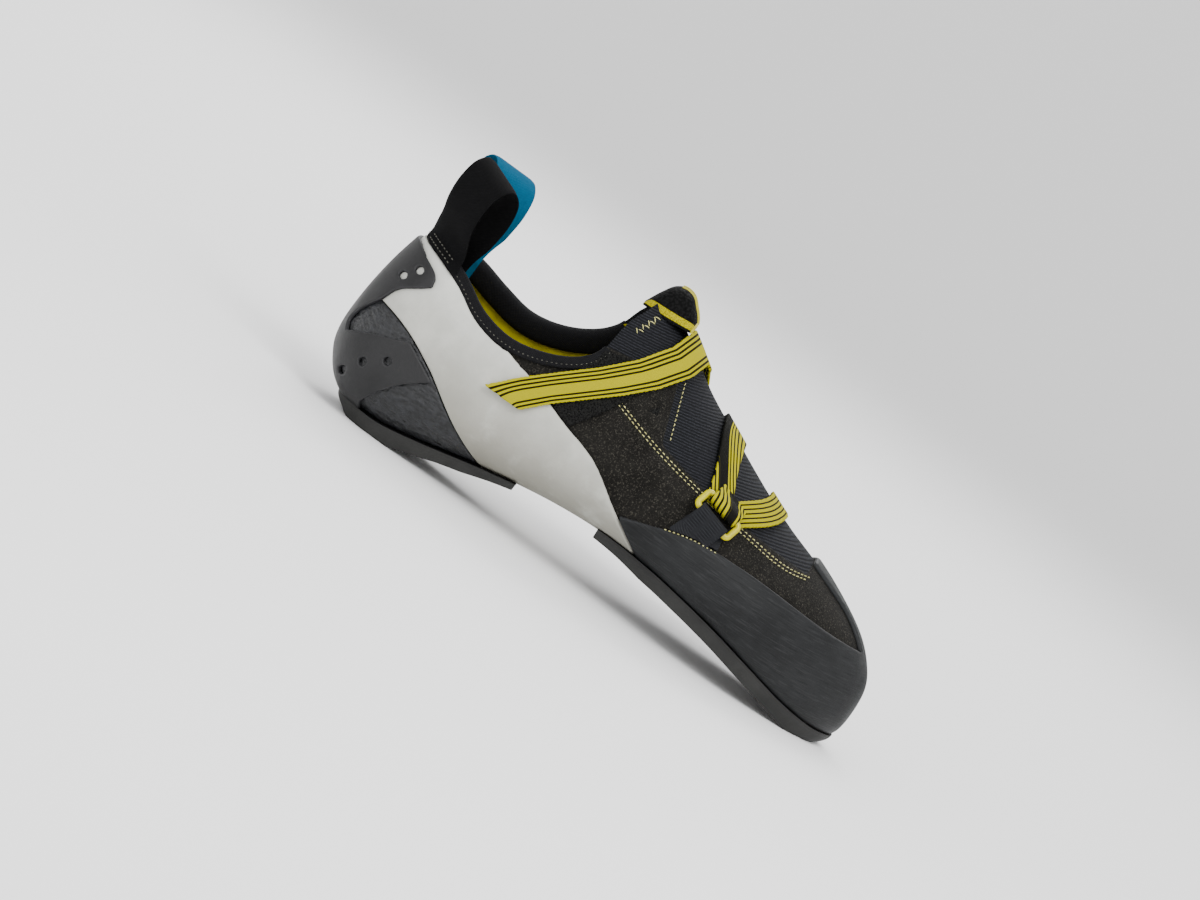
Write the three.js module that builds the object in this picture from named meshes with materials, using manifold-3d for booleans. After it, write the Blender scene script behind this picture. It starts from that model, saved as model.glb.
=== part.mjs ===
// A right climbing shoe: an upper on an asymmetric last, rubber in layers round it, and one strap laid in a Z.
// Millimetres. +X runs from heel to toe, +Y to the big toe's side, +Z up. The origin is on the floor,
// in the middle of the flat spot under the heel.
import * as THREE from 'three';
import { mergeVertices } from 'three/addons/utils/BufferGeometryUtils.js';
import Module from 'manifold-3d';

const wasm = await Module();
wasm.setup();

// The last, the form that the whole shoe is built on
const LAST_LENGTH = 244;
const BALL_WIDTH = 85;
const INSTEP_HEIGHT = 108; // from the seat to the top of the last at the ankle
const HEEL_HEIGHT = 71.5; // from the seat to the collar at the back of the heel
const ARCH_RISE = 17; // how far the arch lifts above the seat

// Layers, from the inside out
const INSOLE = 2.2;
const UPPER_WALL = 2;
const RUBBER = 1.4; // sling, rand and heel base
const CUP = 1.3; // heel cup, laid over the rubber
const SOLE_THICKNESS = 4;
const CLEARANCE = 0.3; // between pieces that lie against each other

// Collar binding
const BINDING_OUTSIDE = 1.1;
const BINDING_OVER_EDGE = 1.2;
const PAD_THICKNESS = 2.2;
const FLAP_DEPTH = 4.5;
const PAD_DEPTH = 9;

// Tongue
const TONGUE_WALL = 1.2;
const TAB_WALL = 2.2;
const TAB_LENGTH = 22;
const TAB_RISE = 11;
const TAB_WIDTH = 31;

// Strap, its two rings and the tabs that hold them
const PATCH = 1.4; // loop half of the touch fastener
const STRAP_THICKNESS = 1.2;
const STRAP_WIDTH = 14;
const ROD = 2.6;
const RING_DEPTH = 8; // between the middles of the two long bars
const RING_CORNER = 1.7;
const KEEPER_THICKNESS = 1;

// Pull loops
const WEBBING = 1.2;
const LOOP_HEIGHT = 35;
const LOOP_REACH = 9; // how far a loop leans out and in
const LOOP_START = 0.031; // where the loops begin, along the last

// Soles
const SOLE_LIP = 0.8; // how far the sole stands out past the rubber above it
const SIDE_ROUND = 1.2; // how much narrower the ground face is
const TOE_ROUND = 3.6;
const HEEL_ROUND = 3.2;
const CUP_HOLE = 3;

// Facets
const STEPS_OVER = 12; // from side to side over the instep
const STEPS_UNDER = 6; // and under the sole
const STATIONS = 24; // along the last

const SEAT = SOLE_THICKNESS + RUBBER + 2 * CLEARANCE; // height of the last's lowest point
const LOOK_DOWN = 0.123; // side outlines are drawn on a view that looks down seven degrees
const REACH = BALL_WIDTH; // cutting blocks reach well past the shoe
const HEEL_REST = 0.118; // middle of the heel's flat spot, along the last

const table = (names, ...rows) =>
  rows.map((row) => Object.fromEntries(names.map((name, i) => [name, row[i]])));

// Rows from heel to toe. along is a share of LAST_LENGTH; middle, half and lean are shares of BALL_WIDTH;
// low, top and wide (where the section is widest) are shares of INSTEP_HEIGHT; arch is a share of ARCH_RISE.
// under and over say how square the lower and upper half of the section are.
const LAST = table(
  ['along', 'middle', 'half', 'low', 'arch', 'top', 'wide', 'lean', 'under', 'over'],
  [0.0, 0.0, 0.0, 0.25, 0.0, 0.25, 0.25, 0.0, 2.2, 2.0],
  [0.004, 0.0, 0.106, 0.162, 0.0, 0.398, 0.241, 0.0, 2.2, 2.0],
  [0.015, 0.0, 0.182, 0.106, 0.0, 0.546, 0.222, 0.0, 2.3, 2.0],
  [0.037, 0.0, 0.253, 0.046, 0.0, 0.722, 0.204, 0.0, 2.4, 2.0],
  [0.07, 0.0, 0.312, 0.009, 0.0, 0.861, 0.185, 0.0, 2.5, 2.0],
  [0.122, 0.0, 0.347, 0.0, 0.0, 0.954, 0.171, 0.0, 2.6, 2.0],
  [0.195, -0.006, 0.359, 0.0, 0.188, 0.991, 0.194, 0.0, 2.5, 2.0],
  [0.277, -0.018, 0.365, 0.0, 0.47, 1.0, 0.241, 0.0, 2.4, 1.95],
  [0.359, -0.035, 0.382, 0.0, 0.724, 0.981, 0.287, 0.01, 2.4, 1.9],
  [0.441, -0.035, 0.412, 0.0, 0.906, 0.889, 0.315, 0.024, 2.4, 1.9],
  [0.523, -0.018, 0.447, 0.0, 1.0, 0.769, 0.324, 0.047, 2.7, 1.85],
  [0.605, 0.006, 0.482, 0.0, 0.976, 0.676, 0.296, 0.071, 3.1, 1.85],
  [0.679, 0.018, 0.5, 0.0, 0.876, 0.597, 0.255, 0.082, 3.4, 1.9],
  [0.753, 0.029, 0.482, 0.0, 0.7, 0.528, 0.213, 0.082, 3.4, 2.0],
  [0.827, 0.059, 0.435, 0.0, 0.447, 0.472, 0.162, 0.071, 3.4, 2.1],
  [0.892, 0.1, 0.359, 0.0, 0.188, 0.407, 0.119, 0.047, 3.2, 2.2],
  [0.943, 0.135, 0.271, 0.0, 0.035, 0.341, 0.091, 0.024, 3.0, 2.2],
  [0.977, 0.155, 0.182, 0.0, 0.0, 0.269, 0.079, 0.012, 2.6, 2.2],
  [0.995, 0.162, 0.1, 0.023, 0.0, 0.199, 0.081, 0.0, 2.2, 2.1],
  [1.0, 0.165, 0.0, 0.097, 0.0, 0.097, 0.097, 0.0, 2.0, 2.0],
);
const TOE_END = LAST.length - 1;
const HEEL_SEAT_ROW = 5;
const TOE_SEAT_ROW = 17;

// Height of the collar on both sides, as shares of HEEL_HEIGHT. The steep end is the edge of the tongue.
const COLLAR = table(
  ['along', 'lateral', 'medial'],
  [-0.1, 1.0, 1.0],
  [0.023, 1.0, 1.0],
  [0.109, 0.92, 0.973],
  [0.167, 0.825, 0.923],
  [0.22, 0.797, 0.895],
  [0.265, 0.825, 0.925],
  [0.343, 0.993, 1.119],
  [0.359, 1.259, 1.273],
  [0.372, 1.357, 1.37],
  [0.39, 1.9, 1.9],
);

// Thickness of the soles along the shoe, as a share of SOLE_THICKNESS. What would reach below the floor is
// cut off by it, and that makes the flat spots.
const HEEL_SOLE = table(
  ['row', 'thick'],
  [3.6, 1.05],
  [4.0, 1.08],
  [4.5, 1.2],
  [5.0, 1.25],
  [5.5, 1.3],
  [6.0, 1.05],
  [6.5, 0.8],
  [7.0, 0.72],
  [7.5, 0.44],
  [8.0, 0.25],
);
const FORE_SOLE = table(
  ['row', 'thick'],
  [9.8, 0.35],
  [10.4, 0.55],
  [11.0, 0.85],
  [12.0, 0.88],
  [13.0, 0.9],
  [14.0, 0.95],
  [15.0, 0.97],
  [15.6, 1.2],
  [16.0, 1.4],
  [17.0, 1.5],
  [18.0, 1.6],
);

// Side outlines: along is a share of LAST_LENGTH, up a share of INSTEP_HEIGHT above the seat.
const outline = (...points) => table(['along', 'up'], ...points);

const SLING = outline(
  [-0.05, 0.73], [0.035, 0.73], [0.14, 0.61], [0.228, 0.457], [0.29, 0.421], [0.37, 0.362],
  [0.433, 0.322], [0.515, 0.213], [0.585, 0.131], [0.593, -0.2], [0.343, -0.2], [0.343, 0.059],
  [0.269, 0.097], [0.228, 0.133], [0.146, 0.242], [0.085, 0.306], [-0.05, 0.368],
);
const HEEL_BASE = outline(
  [-0.06, 0.5], [0.09, 0.48], [0.2, 0.3], [0.343, 0.2], [0.343, -0.25], [-0.06, -0.25],
);
const RAND_LATERAL = outline(
  [0.519, 0.213], [0.556, 0.242], [0.597, 0.273], [0.659, 0.304], [0.72, 0.311], [0.933, 0.31],
  [0.956, 0.315], [0.937, 0.351], [0.905, 0.397], [0.864, 0.433], [0.814, 0.474], [0.814, 0.63],
  [1.07, 0.63], [1.07, -0.21], [0.595, -0.21], [0.585, 0.131],
);
const RAND_MEDIAL = outline(
  [0.519, 0.213], [0.556, 0.242], [0.597, 0.275], [0.659, 0.304], [0.72, 0.319], [0.761, 0.348],
  [0.79, 0.404], [0.806, 0.474], [0.806, 0.63], [1.07, 0.63], [1.07, -0.21], [0.595, -0.21], [0.585, 0.131],
);
const HEEL_CUP = outline(
  [-0.05, 0.75], [0.018, 0.75], [0.019, 0.6], [0.05, 0.55], [0.077, 0.509], [0.081, 0.475],
  [0.064, 0.444], [0.04, 0.397], [0.03, 0.342], [0.011, 0.258], [0.009, 0.212], [0.015, 0.184],
  [0.048, 0.222], [0.101, 0.278], [0.165, 0.206], [0.13, 0.14], [0.105, 0.075], [0.091, 0.024],
  [0.097, -0.004], [0.118, -0.022], [0.187, -0.007], [0.343, 0.055], [0.343, -0.17], [-0.05, -0.17],
);
const THROAT_LATERAL = outline(
  [0.327, 0.663], [0.409, 0.701], [0.474, 0.731], [0.511, 0.509], [0.597, 0.469], [0.7, 0.444],
  [0.814, 0.437], [0.814, 1.22], [0.327, 1.22],
);
const THROAT_MEDIAL = outline(
  [0.327, 0.737], [0.409, 0.776], [0.482, 0.74], [0.519, 0.537], [0.597, 0.502], [0.7, 0.467],
  [0.814, 0.455], [0.814, 1.22], [0.327, 1.22],
);
const LOOP_PATCH = outline(
  [0.351, 0.655], [0.409, 0.683], [0.445, 0.647], [0.409, 0.479], [0.376, 0.358], [0.339, 0.38], [0.339, 0.56],
);

// Legs of the strap and the ring tabs, along their middle: width is a share of STRAP_WIDTH, measured along a
// line across the leg, and edge is that line's slope in degrees. The halves of a leg meet on the ridge.
const leg = (...rows) => table(['along', 'up', 'width', 'edge'], ...rows);

const TOP_RIDGE = [[0.47, 1.0, 0.99, -31], [0.47, 0.88, 0.99, -31]];
const TOP_LATERAL = leg(...TOP_RIDGE, [0.267, 0.309, 1.21, 0]);
const TOP_MEDIAL = leg(...TOP_RIDGE, [0.57, 0.47, 1.05, -12]);
const DIAGONAL_RIDGE = [[0.591, 0.8, 1.02, -25], [0.591, 0.696, 1.02, -25]];
const DIAGONAL_LATERAL = leg(
  ...DIAGONAL_RIDGE, [0.604, 0.61, 0.84, -18], [0.62, 0.53, 0.8, -16], [0.641, 0.42, 1, -12],
);
const DIAGONAL_MEDIAL = leg(...DIAGONAL_RIDGE, [0.572, 0.48, 0.95, -12]);
const VAMP_RIDGE = [[0.716, 0.66, 0.79, -24], [0.716, 0.558, 0.79, -24]];
const VAMP_LATERAL = leg(...VAMP_RIDGE, [0.664, 0.444, 0.72, -55]);
const VAMP_MEDIAL = leg(...VAMP_RIDGE, [0.755, 0.27, 0.85, 0]);
const KEEPER_LATERAL = leg([0.641, 0.39, 1.0, -12], [0.631, 0.24, 1.75, 14]);
const KEEPER_MEDIAL = leg([0.571, 0.41, 1.0, -12], [0.568, 0.12, 1.4, 0]);
const TOP_CREST = 0.01;
const DIAGONAL_CREST = 0.076;
const VAMP_CREST = 0.106;

// How far off the upper the straps lie: over the loop patch, and without it
const OVER_PATCH = Math.max(PATCH, RUBBER) + 2 * CLEARANCE;
const OVER_UPPER = 2 * CLEARANCE;
const RING_LATERAL = { along: 0.641, up: 0.402, tilt: -12, side: -1, level: OVER_UPPER };
const RING_MEDIAL = { along: 0.571, up: 0.425, tilt: -12, side: 1, level: OVER_PATCH };

// Round holes in the heel cup, as seen from the side
const CUP_HOLES = outline([0.052, 0.5], [0.036, 0.453], [0.091, 0.177], [0.062, 0.127], [0.044, 0.07]);

// Height of the tongue tab's crest above the last, as a share of TAB_RISE, and its half width
const TAB = table(
  ['along', 'rise', 'half'],
  [0.0, 0.1, 0.75],
  [0.14, 0.42, 0.86],
  [0.3, 0.92, 0.94],
  [0.45, 1.05, 1.0],
  [0.62, 1.1, 1.0],
  [0.8, 0.85, 0.94],
  [1.0, 0.6, 0.85],
);
const TAB_START = 0.357; // along the last

// A pull loop's path: out is a share of LOOP_REACH from the collar's wall, up a share of LOOP_HEIGHT
const LOOP_PATH = table(
  ['out', 'up'],
  [0.45, 0.18],
  [0.9, 0.42],
  [1.0, 0.68],
  [0.65, 0.92],
  [0.0, 1.0],
  [-0.75, 0.9],
  [-1.05, 0.66],
  [-0.92, 0.38],
  [-0.72, 0.16],
);

// Interpolation

const radians = (degrees) => (degrees * Math.PI) / 180;
const signedPower = (value, power) => Math.sign(value) * Math.abs(value) ** power;

function smooth(a, b, c, d, t) {
  const bend = 2 * b + (c - a) * t + (2 * a - 5 * b + 4 * c - d) * t * t + (3 * b - a - 3 * c + d) * t ** 3;
  return bend / 2;
}

function between(rows, key, value, column) {
  const next = rows.findIndex((row) => row[key] > value);
  if (next === 0) return rows[0][column];
  if (next < 0) return rows[rows.length - 1][column];
  const [a, b] = [rows[next - 1], rows[next]];
  return a[column] + ((b[column] - a[column]) * (value - a[key])) / (b[key] - a[key]);
}

// The last as a function: row runs from 0 at the heel to TOE_END, angle goes round from the medial side over
// the instep. Past its two ends the form is mirrored, which makes them round.

const millimetres = LAST.map((row) => ({
  x: row.along * LAST_LENGTH,
  middle: row.middle * BALL_WIDTH,
  half: row.half * BALL_WIDTH,
  lean: row.lean * BALL_WIDTH,
  bottom: SEAT + row.low * INSTEP_HEIGHT + row.arch * ARCH_RISE,
  top: SEAT + row.top * INSTEP_HEIGHT,
  wide: SEAT + row.wide * INSTEP_HEIGHT,
  under: row.under,
  over: row.over,
}));

function rowAt(index) {
  if (index >= 0 && index <= TOE_END) return millimetres[index];
  const mirror = millimetres[index < 0 ? -index : 2 * TOE_END - index];
  return { ...mirror, half: -mirror.half, bottom: mirror.top, top: mirror.bottom };
}

function section(row) {
  const first = Math.min(Math.max(Math.floor(row), 0), TOE_END - 1);
  const rows = [-1, 0, 1, 2].map((step) => rowAt(first + step));
  const blend = (key) => smooth(...rows.map((item) => item[key]), row - first);
  return Object.fromEntries(Object.keys(millimetres[0]).map((key) => [key, blend(key)]));
}

function lastPoint(row, angle) {
  const part = section(Math.min(Math.max(row, 0), TOE_END));
  const above = Math.sin(angle) >= 0;
  const power = 2 / (above ? part.over : part.under);
  const height = above ? part.top - part.wide : part.wide - part.bottom;
  const lean = above ? part.lean * Math.sin(angle) ** 2 : 0;
  return new THREE.Vector3(
    part.x,
    part.middle + part.half * signedPower(Math.cos(angle), power) + lean,
    part.wide + height * signedPower(Math.sin(angle), power),
  );
}

function lastNormal(row, angle) {
  if (row < 1e-6) return new THREE.Vector3(-1, 0, 0);
  if (row > TOE_END - 1e-6) return new THREE.Vector3(1, 0, 0);
  const around = lastPoint(row, angle + 0.08).sub(lastPoint(row, angle - 0.08));
  const along = lastPoint(row + 0.2, angle).sub(lastPoint(row - 0.2, angle));
  return around.cross(along).normalize();
}

const wrap = (row, angle, offset) => lastPoint(row, angle).addScaledVector(lastNormal(row, angle), offset);

// Solids

function solid(points, triangles) {
  let volume = 0;
  for (const [a, b, c] of triangles) {
    volume += points[a].dot(new THREE.Vector3().crossVectors(points[b], points[c]));
  }
  const outward = volume > 0 ? triangles : triangles.map(([a, b, c]) => [a, c, b]);
  const mesh = new wasm.Mesh({
    numProp: 3,
    vertProperties: new Float32Array(points.flatMap((point) => point.toArray())),
    triVerts: new Uint32Array(outward.flat()),
  });
  return new wasm.Manifold(mesh);
}

function solidOf(geometry) {
  geometry.deleteAttribute('normal');
  geometry.deleteAttribute('uv');
  const merged = mergeVertices(geometry, 1e-4);
  const place = merged.attributes.position;
  const points = Array.from({ length: place.count }, (_, i) => new THREE.Vector3().fromBufferAttribute(place, i));
  const index = Array.from(merged.index.array);
  const triangles = Array.from({ length: index.length / 3 }, (_, i) => index.slice(3 * i, 3 * i + 3));
  return solid(points, triangles.filter(([a, b, c]) => a !== b && b !== c && c !== a));
}

// Rings of equally many points joined to a closed solid. A ring's first and last point face each other, and
// so on inwards, and the ends are closed across those pairs unless other triangles are given.
function loft(rings, cap) {
  const count = rings[0].length;
  const pairs = [];
  for (let i = 0; i < count / 2 - 1; i += 1) {
    const [a, b, c, d] = [i, i + 1, count - 2 - i, count - 1 - i];
    if (b !== c) pairs.push([a, b, c]);
    pairs.push([a, c, d]);
  }
  const ends = cap ?? pairs;
  const top = (rings.length - 1) * count;
  const triangles = ends.flatMap(([a, b, c]) => [[a, c, b], [top + a, top + b, top + c]]);
  for (let k = 0; k < top; k += count) {
    for (let i = 0; i < count; i += 1) {
      const j = (i + 1) % count;
      triangles.push([k + i, k + j, k + count + j], [k + i, k + count + j, k + count + i]);
    }
  }
  return solid(rings.flat(), triangles);
}

const forms = new Map();

// The last grown or shrunk along its normals, always on the same facets
function form(offset) {
  if (forms.has(offset)) return forms.get(offset);
  const points = [];
  const triangles = [];
  const count = STEPS_OVER + STEPS_UNDER;
  const over = Array.from({ length: STEPS_OVER }, (_, i) => (Math.PI * i) / STEPS_OVER);
  const under = Array.from({ length: STEPS_UNDER }, (_, i) => Math.PI * (1 + i / STEPS_UNDER));
  for (let i = 1; i < STATIONS; i += 1) {
    for (const angle of [...over, ...under]) points.push(wrap((TOE_END * i) / STATIONS, angle, offset));
  }
  const heel = points.push(wrap(0, 0, offset)) - 1;
  const toe = points.push(wrap(TOE_END, 0, offset)) - 1;
  const last = (STATIONS - 2) * count;
  for (let j = 0; j < count; j += 1) {
    const next = (j + 1) % count;
    triangles.push([heel, next, j], [toe, last + j, last + next]);
    for (let k = 0; k < last; k += count) {
      triangles.push([k + j, k + next, k + count + next], [k + j, k + count + next, k + count + j]);
    }
  }
  const result = solid(points, triangles);
  forms.set(offset, result);
  return result;
}

const layer = (inside, outside) => form(outside).subtract(form(inside));

// Cutting blocks

const flat = ({ along, up }) => new THREE.Vector2(along * LAST_LENGTH, SEAT + up * INSTEP_HEIGHT);

function grow(points, distance) {
  const turn = Math.sign(THREE.ShapeUtils.area(points));
  return points.map((point, i) => {
    const before = points[(i + points.length - 1) % points.length];
    const after = points[(i + 1) % points.length];
    const [a, b] = [point.clone().sub(before).normalize(), after.clone().sub(point).normalize()];
    const out = new THREE.Vector2(a.y + b.y, -a.x - b.x).normalize();
    const open = Math.max(out.x * a.y - out.y * a.x, 0.5);
    return point.clone().addScaledVector(out, (turn * distance) / open);
  });
}

// A block that cuts through one or both sides of the shoe along an outline seen from the side
function sideBlock(shape, side, ridge = 0) {
  const points = THREE.ShapeUtils.isClockWise(shape) ? [...shape].reverse() : shape;
  const cap = THREE.ShapeUtils.triangulateShape(points, []);
  const widths = side === 0 ? [-REACH, 0, REACH] : [0, side * REACH];
  const rings = widths.map((width) => points.map((point) => {
    const height = point.y + LOOK_DOWN * (Math.abs(width) - ridge);
    return new THREE.Vector3(point.x, ridge + width, height);
  }));
  return loft(rings, cap);
}

// A block that cuts a leg of the strap, crest being where the ridge lies as a share of BALL_WIDTH
function legBlock(lateral, medial, crest, gap = 0) {
  const block = (rows, side) => {
    const ends = rows.map((row) => {
      const half = new THREE.Vector2(Math.cos(radians(row.edge)), Math.sin(radians(row.edge)));
      half.multiplyScalar((row.width * STRAP_WIDTH) / 2);
      return [flat(row).sub(half), flat(row).add(half)];
    });
    const shape = [...ends.map(([back]) => back), ...ends.map(([, front]) => front).reverse()];
    return sideBlock(grow(shape, gap), side, crest * BALL_WIDTH);
  };
  if (!medial) return block(lateral, -1);
  if (!lateral) return block(medial, 1);
  return block(lateral, -1).add(block(medial, 1));
}

// All that lies above the collar's edge, lowered by a depth
function aboveCollar(depth) {
  const slope = BALL_WIDTH / 4;
  const high = SEAT + 2 * INSTEP_HEIGHT;
  const rings = COLLAR.map(({ along, lateral, medial }) => {
    const x = along * LAST_LENGTH;
    const [left, right] = [lateral, medial].map((share) => SEAT + share * HEEL_HEIGHT - depth);
    const corners = [[-REACH, left], [-slope, left], [slope, right], [REACH, right], [REACH, high], [-REACH, high]];
    return corners.map(([y, z]) => new THREE.Vector3(x, y, z));
  });
  return loft(rings);
}

// A block through the bottom of the shoe, a share of its width wide, from one row to another
function bottomBlock(from, to, steps, share, top, shrink = 0) {
  const rings = Array.from({ length: steps + 1 }, (_, i) => {
    const row = from + ((to - from) * i) / steps;
    const part = section(row);
    const round = Math.sqrt(1 - (1 - 2 * (i / steps)) ** 4 * 0.75);
    const half = part.half * share * round - shrink;
    const end = i === 0 ? shrink : i === steps ? -shrink : 0;
    const low = -SEAT;
    const high = top(part);
    const corners = [[-half, low], [-half, high], [half, high], [half, low]];
    return corners.map(([y, z]) => new THREE.Vector3(part.x + end, part.middle + y, z));
  });
  return loft(rings);
}

// Places on the last

const bottomAngle = 1.5 * Math.PI;

function bisect(low, high, value) {
  let [a, b] = [low, high];
  const rising = value(b) > value(a);
  for (let i = 0; i < 40; i += 1) {
    const mid = (a + b) / 2;
    if (value(mid) > 0 === rising) b = mid;
    else a = mid;
  }
  return (a + b) / 2;
}

// The place that a point of the side view falls on: its row and angle. side is -1 on the lateral side.
function sidePlace(point, side) {
  const target = flat(point);
  const quarter = side < 0 ? [Math.PI, Math.PI / 2] : [0, Math.PI / 2];
  let row = TOE_END / 2;
  let angle = quarter[0];
  for (let i = 0; i < 6; i += 1) {
    row = bisect(0, TOE_END, (value) => lastPoint(value, angle).x - target.x);
    const seen = (value) => {
      const place = lastPoint(row, value);
      return place.z - LOOK_DOWN * Math.abs(place.y) - target.y;
    };
    angle = bisect(...quarter, seen);
  }
  return { row, angle };
}

// Soles

// The edge of a sole: where the form grown by its reach comes down to the seam's height
function soleEdge(rows, toNose, reach, lap, seatRow) {
  const seam = (row) => {
    const held = toNose ? Math.min(row, seatRow) : Math.max(row, seatRow);
    return section(held).bottom + lap;
  };
  const point = (row, sideAngle) => {
    const angle = bisect(bottomAngle, sideAngle, (value) => wrap(row, value, reach).z - seam(row));
    return wrap(row, angle, reach);
  };
  const noseEnds = toNose ? [seatRow, TOE_END] : [0, seatRow];
  const nose = bisect(...noseEnds, (row) => wrap(row, bottomAngle, reach).z - seam(row));
  const start = rows[0];
  const steps = rows[1];
  const stations = Array.from({ length: steps }, (_, i) => {
    const share = Math.sin(((i / steps) * Math.PI) / 2);
    return start + (nose - start) * share;
  });
  const lateral = stations.map((row) => point(row, Math.PI));
  const medial = stations.map((row) => point(row, 2 * Math.PI)).reverse();
  const edge = [...lateral, wrap(nose, bottomAngle, reach), ...medial];
  const station = [...stations, nose, ...[...stations].reverse()];
  return edge.map((place, i) => ({ place, row: station[i] }));
}

function soleBlock(edge, thickness, sideRound, noseRound) {
  const drop = (row) => {
    const held = section(Math.min(Math.max(row, HEEL_SEAT_ROW - 1.2), TOE_SEAT_ROW));
    const thick = between(thickness, 'row', row, 'thick') * SOLE_THICKNESS;
    return Math.max(0, held.bottom - RUBBER - 2 * CLEARANCE - thick);
  };
  const inwards = edge.map((_, i) => {
    const before = edge[Math.max(i - 1, 0)].place;
    const after = edge[Math.min(i + 1, edge.length - 1)].place;
    const course = new THREE.Vector2(after.x - before.x, after.y - before.y).normalize();
    return new THREE.Vector3(-course.y, course.x, 0);
  });
  const centre = edge[0].place.clone().add(edge[edge.length - 1].place).multiplyScalar(0.5);
  const middle = Math.floor(edge.length / 4);
  const turn = Math.sign(inwards[middle].dot(centre.clone().sub(edge[middle].place)));
  const level = (inset, height) => edge.map(({ place, row }, i) => {
    const inward = inwards[i].clone().multiplyScalar(turn);
    const round = sideRound + noseRound * inward.x ** 2;
    const moved = place.clone().addScaledVector(inward, inset * round);
    const ground = drop(row);
    moved.z = ground + (place.z - ground) * height;
    return moved;
  });
  return loft([level(0, 1), level(0.3, 0.45), level(1, 0)]);
}

// Straps and rings

function ringFrame({ along, up, tilt, side, level: strapLevel }) {
  const { row, angle } = sidePlace({ along, up }, side);
  const out = lastNormal(row, angle);
  const lift = strapLevel + STRAP_THICKNESS + 2 * CLEARANCE + ROD / 2;
  const origin = wrap(row, angle, lift);
  const level = new THREE.Vector3(1, 0, 0).addScaledVector(out, -out.x).normalize();
  const rise = new THREE.Vector3(0, 0, 1).addScaledVector(out, -out.z);
  rise.addScaledVector(level, -rise.dot(level)).normalize();
  const long = level.clone().multiplyScalar(Math.cos(radians(tilt)));
  long.addScaledVector(rise, Math.sin(radians(tilt)));
  const short = rise.clone().multiplyScalar(Math.cos(radians(tilt)));
  short.addScaledVector(level, -Math.sin(radians(tilt)));
  return new THREE.Matrix4().makeBasis(long, short, out).setPosition(origin);
}

const RING_WIDTH = STRAP_WIDTH + 1 + ROD; // between the middles of the two short bars

function ring(place) {
  const corners = [[1, 1, 0], [-1, 1, 90], [-1, -1, 180], [1, -1, 270]];
  const points = corners.flatMap(([x, y, start]) => [0, 30, 60, 90].map((turn) => {
    const angle = radians(start + turn);
    return new THREE.Vector3(
      x * (RING_WIDTH / 2 - RING_CORNER) + RING_CORNER * Math.cos(angle),
      y * (RING_DEPTH / 2 - RING_CORNER) + RING_CORNER * Math.sin(angle),
      0,
    );
  }));
  const path = new THREE.CatmullRomCurve3(points, true, 'catmullrom', 0);
  const tube = new THREE.TubeGeometry(path, 24, ROD / 2, 6, true);
  return solidOf(tube.applyMatrix4(ringFrame(place)));
}

// A fold of strap round one of a ring's long bars: side is 1 at the upper bar
function fold(place, side, thickness) {
  const sides = 12;
  const hole = (ROD / 2 + CLEARANCE) / Math.cos(Math.PI / sides);
  const length = RING_WIDTH - ROD - 1;
  const bar = (radius, long) => {
    const cylinder = new THREE.CylinderGeometry(radius, radius, long, sides).rotateZ(Math.PI / 2);
    cylinder.translate(0, (side * RING_DEPTH) / 2, 0);
    return solidOf(cylinder.applyMatrix4(ringFrame(place)));
  };
  return bar(hole + thickness, length).subtract(bar(hole, length * 2));
}

// Pieces

const throat = (gap) => sideBlock(grow(THROAT_LATERAL.map(flat), gap), -1)
  .add(sideBlock(grow(THROAT_MEDIAL.map(flat), gap), 1));
const topBlock = (gap) => legBlock(TOP_LATERAL, TOP_MEDIAL, TOP_CREST, gap);
const diagonalBlock = (gap) => legBlock(DIAGONAL_LATERAL, DIAGONAL_MEDIAL, DIAGONAL_CREST, gap);
const heelHole = (shrink) => bottomBlock(4.6, 7.2, 2, 0.42, (part) => part.bottom + 3 * UPPER_WALL, shrink);
const foreHole = (shrink) => bottomBlock(11, 15.6, 4, 0.6, (part) => part.bottom + 3 * UPPER_WALL, shrink);
const rubberEdge = (gap) => aboveCollar(FLAP_DEPTH + gap);
const slingBlock = (gap) => sideBlock(grow(SLING.map(flat), gap), 0);
const TOE_RIDGE = 0.14 * BALL_WIDTH;
const randBlock = (gap) => sideBlock(grow(RAND_LATERAL.map(flat), gap), -1, TOE_RIDGE)
  .add(sideBlock(grow(RAND_MEDIAL.map(flat), gap), 1, TOE_RIDGE));

function makeUpper() {
  return form(0)
    .subtract(form(-UPPER_WALL))
    .subtract(aboveCollar(BINDING_OVER_EDGE + CLEARANCE))
    .subtract(throat(0))
    .subtract(heelHole(0))
    .subtract(foreHole(0));
}

function makeBinding() {
  const inside = UPPER_WALL + CLEARANCE;
  const flap = CLEARANCE + BINDING_OUTSIDE;
  const slot = layer(-inside, CLEARANCE).subtract(aboveCollar(BINDING_OVER_EDGE));
  const belowFlap = layer(0, flap + 1).subtract(aboveCollar(FLAP_DEPTH));
  return layer(-inside - PAD_THICKNESS, flap)
    .intersect(aboveCollar(PAD_DEPTH))
    .subtract(aboveCollar(0))
    .subtract(throat(CLEARANCE))
    .subtract(slot)
    .subtract(belowFlap);
}

function makeTongue() {
  return layer(-CLEARANCE - TONGUE_WALL, -CLEARANCE)
    .intersect(throat(-CLEARANCE))
    .subtract(aboveCollar(0));
}

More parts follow.
